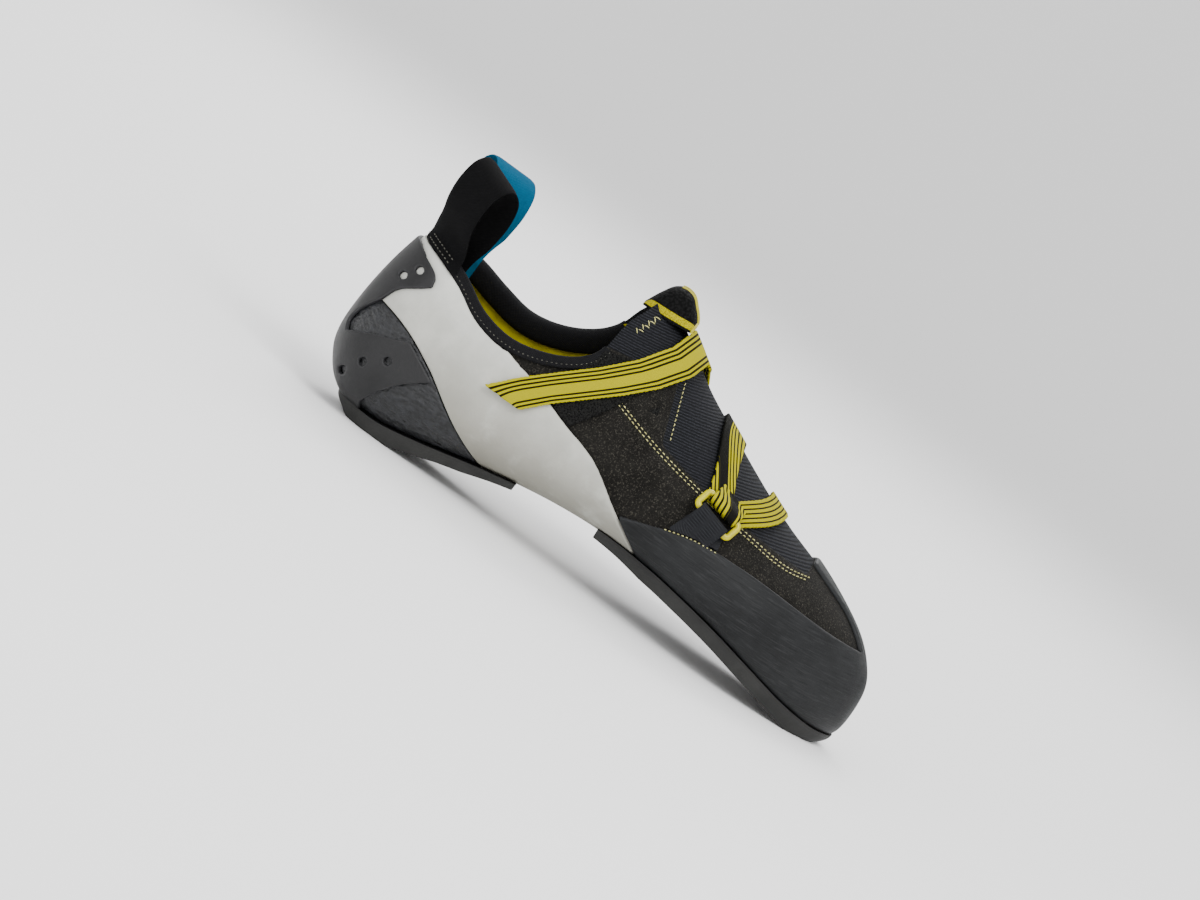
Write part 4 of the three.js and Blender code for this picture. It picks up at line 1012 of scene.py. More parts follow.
def make_sole(name, edge, row, thickness, side_round, nose_round, **kind):
    held = section(np.clip(row, HEEL_SEAT_ROW - 1.2, TOE_SEAT_ROW))[:, BOTTOM]
    thick = np.interp(row, *thickness.T) * SOLE
    ground = np.maximum(0, held - RUBBER - 2 * CLEARANCE - thick)
    course = np.gradient(edge[:, :2], axis=0)
    inward = unit(np.stack([-course[:, 1], course[:, 0], np.zeros(len(edge))], 1))
    centre = (edge[0] + edge[-1]) / 2
    quarter = len(edge) // 4
    if inward[quarter] @ (centre - edge[quarter]) < 0:
        inward = -inward
    reach = side_round + nose_round * inward[:, 0] ** 2
    rings = []
    for height in (1.0, 0.93, 0.8, 0.62, 0.45, 0.3, 0.18, 0.09, 0.03, 0.0):
        inset = (1 - height) ** 2 + (0.12 if height == 0.0 else 0)
        ring = edge + inward * (inset * reach)[:, None]
        ring[:, 2] = ground + (edge[:, 2] - ground) * height
        rings.append(ring)
    count = len(edge)
    i = np.arange(count - 1)
    faces = []
    for k in range(len(rings) - 1):
        faces += np.stack([k * count + i, k * count + i + 1, (k + 1) * count + i + 1, (k + 1) * count + i], 1).tolist()
    half = count // 2
    for base, turn in ((0, 1), ((len(rings) - 1) * count, -1)):
        for a in range(half - 1):
            quad = [base + a, base + count - 1 - a, base + count - 2 - a, base + a + 1]
            faces.append(quad[::-turn] if turn < 0 else quad)
        tip = [base + half - 1, base + half + 1, base + half]
        faces.append(tip[::-turn] if turn < 0 else tip)
    end = [k * count for k in range(len(rings))] + [k * count + count - 1 for k in range(len(rings))][::-1]
    faces.append(end)
    points = np.vstack(rings)
    lay = np.stack([points[:, 0], points[:, 1], np.tile(3.0, len(points))], 1)
    piece = make_piece(name, points, faces, lay, sharp=38, **kind)
    return piece


# %% Both soles
edge, row = sole_edge(8, False, OVER_CUP + CUP, -CLEARANCE, HEEL_SEAT_ROW)
heel_sole = make_sole("heel_sole", edge, row, HEEL_SOLE, 1.2, 3.2, material=SOLE_RUBBER, slot="heel_rubber")
edge, row = sole_edge(9.8, True, CLEARANCE + RUBBER + 0.8, CLEARANCE, TOE_SEAT_ROW)
outsole = make_sole("rubber_outsole", edge, row, FORE_SOLE, 1.2, 3.6, material=SOLE_RUBBER, slot="outsole",
                    stands_for=["outsole"])

# %% [markdown]
# ## Places on the surface
# Straps, stitches and bindings follow lines on the last. A place is found from the side view, and a second
# tool walks from a place over the surface in a chosen direction.

# %% Find and move places
FINE_ROWS = np.linspace(0, TOE_END, 4000)
FINE_X = section(FINE_ROWS)[:, X]


def row_at(x):
    return np.interp(x, FINE_X, FINE_ROWS)


def side_place(spots, side):
    """Places under points of the side view, on the outer (-1) or the inner side (1)."""
    spots = np.atleast_2d(spots)
    row = row_at(spots[:, 0])
    rim = np.full(len(spots), math.pi if side < 0 else 0.0)

    def above(angle):
        place = last_point(row, angle)
        return place[:, 2] - LOOK_DOWN * np.abs(place[:, 1]) - spots[:, 1]

    return np.stack([row, bisect(rim, np.full(len(spots), math.pi / 2), above)], 1)


def walk(params, direction, distance):
    """Moves places over the surface along a direction in space, in steps of about a millimetre."""
    params = np.array(params, float)
    distance = np.broadcast_to(np.asarray(distance, float), len(params))
    steps = max(1, math.ceil(np.abs(distance).max()))
    for _ in range(steps):
        here = last_point(*params.T)
        by_row = (last_point(params[:, 0] + 0.01, params[:, 1]) - here) / 0.01
        by_angle = (last_point(params[:, 0], params[:, 1] + 0.01) - here) / 0.01
        normal = last_normal(*params.T)
        way = direction - (direction * normal).sum(1, keepdims=True) * normal
        way = unit(way) * (distance / steps)[:, None]
        a, b, c = (by_row**2).sum(1), (by_row * by_angle).sum(1), (by_angle**2).sum(1)
        p, q = (by_row * way).sum(1), (by_angle * way).sum(1)
        det = a * c - b * b
        params[:, 0] += (c * p - b * q) / det
        params[:, 1] += (a * q - b * p) / det
    return params


def resample(params, pitch):
    """The same line with even steps."""
    points = last_point(*params.T)
    length = np.concatenate([[0], np.cumsum(np.linalg.norm(np.diff(points, axis=0), axis=1))])
    count = max(2, round(length[-1] / pitch) + 1)
    at = np.linspace(0, length[-1], count)
    return np.stack([np.interp(at, length, params[:, 0]), np.interp(at, length, params[:, 1])], 1), at


def rim_of(field):
    """The longest edge of a region, as one line of places."""
    params, corners, _ = region(field)
    first, faces = weld(last_point(*params.T), corners)
    step = dict(edges_of(faces).tolist())
    best = []
    while step:
        start, here = next(iter(step.items()))
        line = [start]
        del step[start]
        while here != start and here in step:
            line.append(here)
            here = step.pop(here)
        best = max(best, line, key=len)
    return params[first][best]


def swept(rings, closed=True, caps=True):
    """Faces of a tube through rings of equally many points."""
    count, faces = len(rings[0]), []
    for k in range(len(rings) - 1):
        for i in range(count if closed else count - 1):
            j = (i + 1) % count
            faces.append([k * count + i, k * count + j, (k + 1) * count + j, (k + 1) * count + i])
    if caps:
        faces.append(list(range(count))[::-1])
        faces.append([(len(rings) - 1) * count + i for i in range(count)])
    return np.vstack(rings), faces


# %% [markdown]
# ## Collar binding
# The cut edge of the suede is wrapped: a thin flap outside and a padded band inside. It is a profile carried
# along the collar, from one side of the throat round the heel to the other.

# %% The collar's line and the binding
def collar_line(pitch=1.5):
    line = rim_of(below_collar(0.0))
    free = measured(throat_field(CLEARANCE), line) < 0
    start = np.flatnonzero(~free)[-1] + 1 if not free.all() else 0
    line, free = np.roll(line, -start, axis=0), np.roll(free, -start)
    runs = np.split(np.arange(len(line)), np.flatnonzero(np.diff(free.astype(int))) + 1)
    run = max((r for r in runs if free[r[0]]), key=len)
    return resample(line[run], pitch)


COLLAR_LINE, COLLAR_AT = collar_line()
BINDING_PROFILE = smoothed(np.array([
    (4.5, 0.32), (4.6, 0.9), (4.2, 1.35), (2.8, 1.5), (1.2, 1.45), (0.1, 1.0), (-0.4, 0.0), (-0.5, -1.5),
    (-0.1, -3.2), (1.0, -4.5), (3.0, -5.0), (5.5, -5.0), (7.8, -4.5), (8.9, -3.5), (8.7, -2.5), (5.0, -2.3),
    (1.4, -2.2), (1.2, -1.0), (1.3, 0.25),
]), steps=3, corner=181)


def down_from(line):
    course = unit(np.gradient(last_point(*line.T), axis=0))
    down = np.cross(last_normal(*line.T), course)
    return down * np.sign(-down[len(down) // 2, 2])


def lines_below(line, count=18, step=0.5):
    """The collar's line again and again, each a little lower on the surface."""
    down = down_from(line)
    levels = [line]
    for _ in range(count):
        levels.append(walk(levels[-1], down, step))
    return down, np.array(levels)


DOWN, LEVELS = lines_below(COLLAR_LINE)


def make_binding():
    rings = []
    across = np.concatenate([[0], np.cumsum(np.linalg.norm(np.diff(BINDING_PROFILE, axis=0), axis=1))])
    for depth, out in BINDING_PROFILE:
        k = min(max(depth, 0) / 0.5, 17.99)
        place = LEVELS[int(k)] + (k - int(k)) * (LEVELS[int(k) + 1] - LEVELS[int(k)])
        ring = wrap(*place.T, np.full(len(place), out)) + DOWN * min(depth, 0)
        rings.append(ring)
    rings = np.array(rings).transpose(1, 0, 2)
    points, faces = swept(list(rings))
    lay = np.stack([np.repeat(COLLAR_AT, len(BINDING_PROFILE)), np.tile(across, len(rings)),
                    np.full(len(points), 3.0)], 1)
    return make_piece("padded_binding", points, faces, lay, material=BINDING, sharp=60, slot="collar_binding",
                      stands_for=["collar_binding"])


binding = make_binding()

# %% [markdown]
# ## Insole
# A thin yellow sheet on the floor inside. Only its heel shows, through the collar.


# %% Insole
def footprint(points, normals):
    part = section(row_at(points[:, 0]))
    side = part[:, HALF] * 0.72 - np.abs(points[:, 1] - part[:, MIDDLE])
    low = part[:, WIDE] - 4.4 - points[:, 2]
    ends = np.minimum(points[:, 0] - 7, 235 - points[:, 0])
    return np.min([side, low, ends], axis=0)


insole = sheet_on_last("lining_sole", footprint, -WALL - CLEARANCE - 2.2, -WALL - CLEARANCE, drop=0.3, rounding=0.6,
                       material=INSOLE_CLOTH, slot="insole", stands_for=["insole"])

# %% [markdown]
# ## The strap
# One strap runs in a Z: from its loose end over the instep, through a ring on the inner side, back over the
# instep and through a ring on the outer side. Every leg is told by a few points of its middle, its width and
# the slope of a line across it. For the stripes every point also needs its share of the width.

# %% Legs of the strap
# along, up, width, slope across
TOP_RIDGE = [(0.47, 1.0, 0.99, -31), (0.47, 0.88, 0.99, -31)]
TOP_LATERAL = TOP_RIDGE + [(0.267, 0.309, 1.21, 0)]
TOP_MEDIAL = TOP_RIDGE + [(0.57, 0.47, 1.05, -12)]
DIAGONAL_RIDGE = [(0.591, 0.8, 1.02, -25), (0.591, 0.696, 1.02, -25)]
DIAGONAL_LATERAL = DIAGONAL_RIDGE + [(0.604, 0.61, 0.84, -18), (0.62, 0.53, 0.8, -16), (0.641, 0.42, 1, -12)]
DIAGONAL_MEDIAL = DIAGONAL_RIDGE + [(0.572, 0.48, 0.95, -12)]
VAMP_RIDGE = [(0.716, 0.66, 0.79, -24), (0.716, 0.558, 0.79, -24)]
VAMP_LATERAL = VAMP_RIDGE + [(0.664, 0.444, 0.72, -55)]
VAMP_MEDIAL = VAMP_RIDGE + [(0.755, 0.27, 0.85, 0)]
KEEPER_LATERAL = [(0.641, 0.39, 1.0, -12), (0.631, 0.24, 1.75, 14)]
KEEPER_MEDIAL = [(0.571, 0.41, 1.0, -12), (0.568, 0.12, 1.4, 0)]
TOP_CREST, DIAGONAL_CREST, VAMP_CREST = 0.01, 0.076, 0.106


def leg_edges(rows):
    rows = np.array(rows, float)
    middle = rows[:, :2] * (LAST_LENGTH, INSTEP_HEIGHT) + (0, SEAT)
    slope = np.radians(rows[:, 3])
    half = np.stack([np.cos(slope), np.sin(slope)], 1) * (rows[:, 2] * STRAP_WIDTH / 2)[:, None]
    back, front = (smoothed(middle + way * half, closed=False, steps=6, corner=181) for way in (-1, 1))
    return back, front


def leg_field(lateral, medial, crest, grow=0.0):
    far = np.array([(-1000.0, 0), (-999.0, 0), (-1000.0, 1)])
    curves = [far if rows is None else np.vstack([leg_edges(rows)[0], leg_edges(rows)[1][::-1]])
              for rows in (lateral, medial)]
    return side_field(*curves, crest * BALL_WIDTH, grow)


def leg_lay(lateral, medial, crest):
    """Length along a leg from its ridge, share of its width, and distance from its edge."""
    sides = {-1: lateral, 1: medial}

    def lay(points, depth):
        result = np.zeros((len(points), 3))
        ridge = crest * BALL_WIDTH
        for side, rows in sides.items():
            mine = (points[:, 1] - ridge) * side >= 0
            if rows is None or not mine.any():
                continue
            p = points[mine]
            spots = np.stack([p[:, 0], p[:, 2] - LOOK_DOWN * (np.abs(p[:, 1] - ridge) - ridge)], 1)
            back, front = leg_edges(rows)
            a, b = (line_distance(spots, line, closed=False)[0] for line in (back, front))
            result[mine, 1] = a / (a + b + 1e-9)
            start = outline(rows[min(1, len(rows) - 2)][:2])[0]
            result[mine, 0] = np.linalg.norm(spots - start, axis=1)
        result[:, 2] = depth
        return result

    return lay


def strap_on_last(name, field, legs, level, thickness, lift=None, stands_for=(), **kind):
    """A flat tape with rounded edges; lift raises it off the shoe."""
    params, corners, depth = region(field, [0.08, 0.25, 0.6])
    place = last_point(*params.T)
    raised = np.zeros(len(params)) if lift is None else lift(place)
    outer_height = level + thickness * (0.65 + 0.35 * quarter_round(depth / 0.6)) + raised
    inner_height = level + thickness * 0.35 * (1 - quarter_round(depth / 0.6)) + raised
    first, faces = weld(place, corners)
    outer = wrap(*params[first].T, outer_height[first])
    inner = wrap(*params[first].T, inner_height[first])
    rim = edges_of(faces)
    count = len(outer)
    wall = np.concatenate([np.stack([rim[:, 1], rim[:, 0], rim[:, 0] + count], 1),
                           np.stack([rim[:, 1], rim[:, 0] + count, rim[:, 1] + count], 1)])
    lay = leg_lay(*legs)(place[first], depth[first])
    return make_piece(name, np.vstack([outer, inner]), np.concatenate([faces, faces[:, ::-1] + count, wall]),
                      np.vstack([lay, lay]), slot=stands_for[0], stands_for=stands_for, **kind)


def tail_lift(points):
    """The loose end of the strap stands a little off the shoe."""
    end = np.clip((58 - points[:, 2]) / 16, 0, 1)
    return 1.6 * end**2 * (points[:, 1] < 0)


# %% Top strap, diagonal leg and vamp leg
TOP_LEGS = (TOP_LATERAL, TOP_MEDIAL, TOP_CREST)
DIAGONAL_LEGS = (DIAGONAL_LATERAL, DIAGONAL_MEDIAL, DIAGONAL_CREST)
VAMP_LEGS = (VAMP_LATERAL, VAMP_MEDIAL, VAMP_CREST)
strap_on_last("strap_upper_leg", leg_field(*TOP_LEGS), TOP_LEGS, OVER_PATCH, STRAP_THICKNESS, tail_lift,
              material=TOP_STRAP, stands_for=["strap_top"])
strap_on_last("strap_middle_leg", both(leg_field(*DIAGONAL_LEGS), outside(leg_field(*TOP_LEGS, CLEARANCE))),
              DIAGONAL_LEGS, OVER_UPPER, STRAP_THICKNESS, material=DIAGONAL_STRAP, stands_for=["strap_diagonal"])
vamp_field = both(leg_field(*VAMP_LEGS), outside(leg_field(*DIAGONAL_LEGS, CLEARANCE)),
                  outside(rand_field(CLEARANCE)))
strap_on_last("strap_lower_leg", vamp_field, VAMP_LEGS, OVER_UPPER, STRAP_THICKNESS, material=VAMP_STRAP,
              stands_for=["strap_vamp"])

KEEPER_THICKNESS = 1.0
for side, legs, level in (("lateral", (KEEPER_LATERAL, None, 0), OVER_UPPER),
                          ("medial", (None, KEEPER_MEDIAL, 0), OVER_PATCH)):
    keeper_field = both(leg_field(*legs), outside(sling_field(CLEARANCE)), outside(rand_field(CLEARANCE)))
    strap_on_last("tape_keeper_" + side, keeper_field, legs, level, KEEPER_THICKNESS, material=KEEPER_TAPE,
                  stands_for=["keeper_" + side])

# %% [markdown]
# ## Rings and folds
# Each ring is a bent rod. The strap is folded round its upper bar and the keeper round its lower one, so both
# folds are a strip of tape that leaves the shoe, turns round the bar and comes back under itself.

# %% Rings
RING_LATERAL = (0.641, 0.402, -12, -1, OVER_UPPER)
RING_MEDIAL = (0.571, 0.425, -12, 1, OVER_PATCH)


def ring_axes(place):
    along, up, tilt, side, level = place
    params = side_place(outline((along, up)), side)
    out = last_normal(*params.T)[0]
    level_way = unit(np.array([1.0, 0, 0]) - out * out[0])
    rise = np.array([0, 0, 1.0]) - out * out[2]
    rise = unit(rise - level_way * (rise @ level_way))
    turn = math.radians(tilt)
    long = level_way * math.cos(turn) + rise * math.sin(turn)
    short = rise * math.cos(turn) - level_way * math.sin(turn)
    lift = level + STRAP_THICKNESS + 2 * CLEARANCE + ROD / 2
    return params, wrap(*params.T, np.array([lift]))[0], long, short, out, lift


def make_ring(node, place):
    _, centre, long, short, out, _ = ring_axes(place)
    path = []
    for x, y, start in ((1, 1, 0), (-1, 1, 90), (-1, -1, 180), (1, -1, 270)):
        for turn in np.radians(start + np.linspace(0, 90, 9)):
            path.append((x * (RING_WIDTH / 2 - RING_CORNER) + RING_CORNER * math.cos(turn),
                         y * (RING_DEPTH / 2 - RING_CORNER) + RING_CORNER * math.sin(turn)))
    path = np.array(path)
    spots = centre + path[:, :1] * long + path[:, 1:] * short
    course = unit(np.roll(spots, -1, axis=0) - np.roll(spots, 1, axis=0))
    beside = np.cross(course, out)
    turns = np.linspace(0, 2 * math.pi, 20, endpoint=False)
    rings = [spot + ROD / 2 * (np.cos(turns)[:, None] * side + np.sin(turns)[:, None] * out)
             for spot, side in zip(spots, beside)]
    points, faces = swept(rings + [rings[0]], caps=False)
    count = len(rings) * 20
    faces = [[v % count for v in face] for face in faces]
    return make_piece("painted_" + node, points[:count], faces, material=RING_PAINT, sharp=60, slot=node,
                      stands_for=[node])


make_ring("ring_lateral", RING_LATERAL)
make_ring("ring_medial", RING_MEDIAL)


# %% Folds of tape round the bars
def make_fold(name, place, way, thickness, slot, finish, reach, begin=0.0):
    """way is 1 at the upper bar, -1 at the lower one."""
    params, centre, long, short, out, lift = ring_axes(place)
    level = place[4]
    bar = RING_DEPTH / 2
    turn_radius = ROD / 2 + 0.25 + thickness / 2
    rest = level + thickness / 2
    around = [(bar + turn_radius * math.sin(a), lift + turn_radius * math.cos(a))
              for a in np.radians(np.linspace(35, -180, 13))]
    path = [(bar + reach, rest + 0.15), (bar + reach * 0.7, rest + 0.9), (bar + reach * 0.42, rest + 2.6)]
    path += around + [(bar + reach * 0.3, rest + 0.1), (bar + reach * 0.5, rest)]
    path = smoothed(np.array(path), closed=False, steps=3, corner=181)
    course = unit(np.gradient(path, axis=0))
    face = np.stack([-course[:, 1], course[:, 0]], 1)
    half = (RING_WIDTH - ROD - 1) / 2
    shape = [(-half, 0.0), (-half + 0.08, 0.35), (-half + 0.3, 0.5)] + [(w, 0.5) for w in (-4.5, -2, 0, 2, 4.5)]
    shape += [(half - 0.3, 0.5), (half - 0.08, 0.35), (half, 0.0)]
    shape += [(w, -h) for w, h in shape[1:-1]][::-1]
    rings, lay, length = [], [], begin
    for i, (spot, side) in enumerate(zip(path, face)):
        if i:
            length += np.linalg.norm(path[i] - path[i - 1])
        wide, off = np.array(shape).T
        k, height = spot[0] + side[0] * off * thickness, spot[1] + side[1] * off * thickness
        start = walk(np.repeat(params, len(shape), axis=0), long[None], wide)
        on_shoe = wrap(*walk(start, short[None], way * k).T, height)
        on_ring = centre + wide[:, None] * long + (way * k)[:, None] * short + (height - lift)[:, None] * out
        share = np.clip((abs(spot[0]) - bar - 2) / 4, 0, 1)
        rings.append(on_ring * (1 - share) + on_shoe * share)
        lay += [(length, w / STRAP_WIDTH + 0.5, 1.0) for w in wide]
    points, faces = swept(rings)
    return make_piece(name, points, faces, lay, material=finish, sharp=60, slot=slot)


make_fold("fold_strap_lateral", RING_LATERAL, 1, STRAP_THICKNESS, "strap_diagonal", DIAGONAL_STRAP, 9.0,
          begin=21.0)
make_fold("fold_strap_medial", RING_MEDIAL, 1, STRAP_THICKNESS, "strap_top", TOP_STRAP, 9.0)
make_fold("fold_keeper_lateral", RING_LATERAL, -1, KEEPER_THICKNESS, "keeper_lateral", KEEPER_TAPE, 7.0)
make_fold("fold_keeper_medial", RING_MEDIAL, -1, KEEPER_THICKNESS, "keeper_medial", KEEPER_TAPE, 7.0)

# %% [markdown]
# ## Pull loops
# Two loops of tape stand on the collar at the heel. Their ends follow the wall of the shoe, outside and
# inside, and in between the tape leans out and comes back in a round bow.

# %% Loops
LOOP_HEIGHT, LOOP_REACH, WEBBING, LOOP_START = 35, 9, 1.2, 0.031
LOOP_PATH = [(0.45, 0.18), (0.9, 0.42), (1.0, 0.68), (0.65, 0.92), (0.0, 1.0), (-0.75, 0.9), (-1.05, 0.66),
             (-0.92, 0.38), (-0.72, 0.16)]


def make_pull_loop(node, side, start, end, finish):
    columns = 13
    flap_out, pad_in = 1.1 + 3 * CLEARANCE + WEBBING / 2, WALL + 2.2 + 5 * CLEARANCE + WEBBING / 2
    collar = lateral_collar if side < 0 else medial_collar
    rim = math.pi if side < 0 else 0.0
    x = np.linspace(start, end, columns) * LAST_LENGTH

    def wall(drop, out):
        height = collar(x) - drop
        row = row_at(x)
        angle = bisect(np.full(columns, rim), np.full(columns, math.pi / 2),
                       lambda a: last_point(row, a)[:, 2] - height)
        return wrap(row, angle, np.broadcast_to(out, columns))

    edge = wall(0, 0)
    away = wall(0, 1) - edge
    outward = unit(away * (1, 1, 0))
    centre = columns // 2
    across = (edge[-1] - edge[0]) / 2
    path = [(flap_out, -4.05), (flap_out, -2), (flap_out, 0)]
    path += [(o * LOOP_REACH, u * LOOP_HEIGHT) for o, u in LOOP_PATH]
    path += [(-pad_in, 0), (-pad_in, -4), (-pad_in, -8.1)]
    path = smoothed(np.array(path), closed=False, steps=4, corner=181)
    course = unit(np.gradient(path, axis=0))
    face = np.stack([course[:, 1], -course[:, 0]], 1)
    share = np.linspace(-1, 1, columns)
    edge_round = 0.35 + 0.65 * np.sqrt(1 - np.abs(share) ** 8)
    rings, lay, length = [], [], 0.0
    for i, (point, normal) in enumerate(zip(path, face)):
        if i:
            length += np.linalg.norm(path[i] - path[i - 1])
        free = np.clip(point[1] / (LOOP_HEIGHT / 3), 0, 1)
        free = free * free * (3 - 2 * free)
        lines = []
        for half in (WEBBING / 2, -WEBBING / 2):
            if point[1] <= 0:
                line = wall(-point[1], point[0] + np.sign(normal[0]) * half * edge_round)
            else:
                shift_out = point[0] + normal[0] * half * edge_round
                shift_up = point[1] + normal[1] * half * edge_round
                lean = min(point[1] / 8, 1)
                held = edge + unit(away * (1 - lean) + outward * lean) * shift_out[:, None]
                loose = edge[centre] + across * share[:, None] + outward[centre] * shift_out[:, None]
                line = held * (1 - free) + loose * free
                line[:, 2] += shift_up
            lines.append(line)
        rings.append(np.vstack([lines[0], lines[1][::-1]]))
        for s in np.concatenate([share, share[::-1]]):
            lay.append((length, s * 9, 9 * (1 - abs(s))))
    points, faces = swept(rings)
    return make_piece("tape_" + node, points, faces, lay, material=finish, sharp=50, slot=node, stands_for=[node])


make_pull_loop("pull_loop_lateral", -1, LOOP_START, 0.097, BLACK_TAPE)
make_pull_loop("pull_loop_medial", 1, LOOP_START, 0.102, BLUE_TAPE)

# %% [markdown]
# ## Tongue tab
# A hood of grained leather on top of the tongue, with a piped front edge and a yellow strip at its foot.

# %% The tab
TAB = np.array([  # along, rise over the foot in millimetres, half width as a share
    (0.0, 0.9, 0.6), (0.14, 7.2, 0.8), (0.3, 12.1, 0.93), (0.45, 13.5, 1.0), (0.62, 12.8, 1.0), (0.8, 9.1, 0.94),
    (0.93, 5.6, 0.86), (1.0, 2.6, 0.8)])
TAB_START, TAB_LENGTH, TAB_WIDTH, TAB_WALL = 0.357, 22, 26, 2.2
TAB_LINE = smoothed(TAB[:, :2] * (TAB_LENGTH, 1), closed=False, steps=8, corner=181)


def tab_point(s, turn, inset):
    """s runs from back to front, turn from one foot (0) over the crest (90 degrees) to the other."""
    x = TAB_START * LAST_LENGTH + s * TAB_LENGTH
    middle = last_point(row_at(x), math.pi / 2)[..., 1]
    rise = np.interp(s * TAB_LENGTH, *TAB_LINE.T)
    wide = np.interp(s, TAB[:, 0], TAB[:, 2]) * TAB_WIDTH / 2 - inset
    foot = SEAT + 0.882 * INSTEP_HEIGHT + 1.8 * s
    height = np.maximum(rise - inset, 0.3 * rise)
    return np.stack([x, middle + wide * signed_power(np.cos(turn), 0.8),
                     foot + height * signed_power(np.sin(turn), 0.8)], axis=-1)


def make_tab(rows=44, columns=64):
    s, turn = np.meshgrid(np.linspace(0, 1, rows), np.linspace(0, math.pi, columns), indexing="ij")
    dimple = 1.3 * np.exp(-((s - 0.645) / 0.06) ** 2 - ((turn - 2.72) / 0.2) ** 2)
    outer = tab_point(s, turn, dimple)
    inner = tab_point(s, turn, TAB_WALL)
    rings = [np.vstack([a, b[::-1]]) for a, b in zip(outer, inner)]
    points, faces = swept(rings, caps=False)
    count = len(rings[0])
    for base, way in ((0, 1), ((len(rings) - 1) * count, -1)):
        for i in range(columns - 1):
            faces.append([base + i, base + count - 1 - i, base + count - 2 - i, base + i + 1][::way])
    steps = np.linalg.norm(np.diff(outer, axis=1), axis=2)
    length = np.concatenate([np.zeros((rows, 1)), np.cumsum(steps, axis=1)], axis=1)
    foot = np.minimum(length, length[:, -1:] - length)
    lay = np.concatenate([np.stack([line[:, 0], np.concatenate([f, f[::-1]]), np.full(count, 3.0)], 1)
                          for line, f in zip(rings, foot)])
    return make_piece("tab_hood", points, faces, lay, material=GRAINED, sharp=55, slot="tongue_tab",
                      stands_for=["tongue_tab"])


make_tab()


def tube(name, spots, radius, finish, slot, sides=10):
    course = unit(np.gradient(spots, axis=0))
    side = unit(np.cross(course, (0.13, 0.21, 0.97)))
    other = np.cross(course, side)
    turns = np.linspace(0, 2 * math.pi, sides, endpoint=False)
    rings = [p + radius * (np.cos(turns)[:, None] * a + np.sin(turns)[:, None] * b)
             for p, a, b in zip(spots, side, other)]
    points, faces = swept(rings)
    return make_piece(name, points, faces, None, material=finish, sharp=60, slot=slot)


PIPING = material("yellow piping", lambda t: {
    "Base_Color": t.mix(t.ramp(t.noise(place_of(t), 1.5), 0.3, 0.7), rgb(0x9A9100), rgb(0xA9A000)),
    "Roughness": 0.6})
for side, crest, low in (("lateral", 1.75, math.pi), ("medial", 1.39, 0.0)):
    s = np.concatenate([np.linspace(0.4, 0.97, 50), np.full(14, 0.97)])
    turn = np.concatenate([np.full(50, crest), np.linspace(crest, low, 15)[1:]])
    tube("tab_piping_" + side, tab_point(s, turn, 0.3), 0.75, PIPING, "tongue_tab")

# %% [markdown]
# ## Stitches
# A seam is a row of short threads, each of which rises from the fabric and dips back in. One mesh holds all
# stitches of a row.

# %% Stitches
THREAD = material("pale thread", lambda t: {
    "Base_Color": t.mix(t.ramp(t.noise(place_of(t), 2.0), 0.35, 0.65), rgb(0x8F8A4E), rgb(0xC9C58B)),
    "Roughness": 0.8})


def stitch_row(name, params, level, slot, pitch=2.1, length=1.4, radius=0.2, finish=None):
    line, at = resample(params, 0.25)
    sides, cuts = 6, 5
    turns = np.linspace(0, 2 * math.pi, sides, endpoint=False)
    points, faces = [], []
    for start in np.arange(0.3, at[-1] - length, pitch):
        spot = np.interp(np.linspace(start, start + length, cuts), at, np.arange(len(at)))
        index = spot.astype(int).clip(0, len(line) - 2)
        place = line[index] + (spot - index)[:, None] * (line[index + 1] - line[index])
        rise = np.array([-0.25, 0.1, 0.2, 0.1, -0.25])
        centre = wrap(*place.T, level + rise)
        normal = last_normal(*place.T)
        course = unit(np.gradient(centre, axis=0))
        side = unit(np.cross(course, normal))
        thick = radius * np.array([0.6, 1, 1.1, 1, 0.6])
        rings = [c + r * (np.cos(turns)[:, None] * s + np.sin(turns)[:, None] * n)
                 for c, r, s, n in zip(centre, thick, side, normal)]
        more, more_faces = swept(rings)
        faces += [[v + sum(map(len, points)) for v in face] for face in more_faces]
        points.append(more)
    return make_piece(name, np.vstack(points), faces, None, material=finish or THREAD, sharp=80, slot=slot)


def seam(*spots, side=-1, offset=0.0):
    line = smoothed(outline(*spots) + (0, offset), closed=False, steps=12, corner=181)
    return side_place(line, side)


THROAT_SEAM = [(0.4, 0.553), (0.507, 0.488), (0.605, 0.45), (0.7, 0.425), (0.79, 0.415), (0.822, 0.43)]
stitch_row("seam_throat_upper", seam(*THROAT_SEAM), 0.05, "upper")
stitch_row("seam_throat_lower", seam(*THROAT_SEAM, offset=-1.35), 0.05, "upper")
stitch_row("seam_throat_rear", seam((0.483, 0.735), (0.519, 0.52)), -0.1, "upper", pitch=2.0, length=1.2)


def zigzag(start, end, wide, count):
    """Corners of a zigzag between two places of the side view."""
    start, end = outline(start)[0], outline(end)[0]
    beside = np.array([end[1] - start[1], start[0] - end[0]]) / np.linalg.norm(end - start)
    share = np.linspace(0, 1, count)[:, None]
    return start + (end - start) * share + beside * wide / 2 * np.where(np.arange(count) % 2, 1, -1)[:, None]


corners = zigzag((0.391, 0.868), (0.375, 0.772), 3.0, 9)
step = np.linalg.norm(corners[1] - corners[0])
stitch_row("seam_tongue_zigzag", side_place(corners, -1), -0.35, "tongue", pitch=step, length=step * 0.85)


def make_eyelet():
    """A small three-cornered cut in the suede, dark inside."""
    seen = outline((0.462, 0.573), (0.474, 0.61), (0.478, 0.578))
    foot = side_place(seen, -1)
    points = np.vstack([wrap(*foot.T, np.full(3, 0.12)), wrap(*foot.T, np.full(3, -0.4))])
    faces = [(0, 1, 2), (5, 4, 3), (0, 3, 4, 1), (1, 4, 5, 2), (2, 5, 3, 0)]
    return make_piece("eyelet", points, faces, None, material=LOOPS, sharp=30, slot="upper")


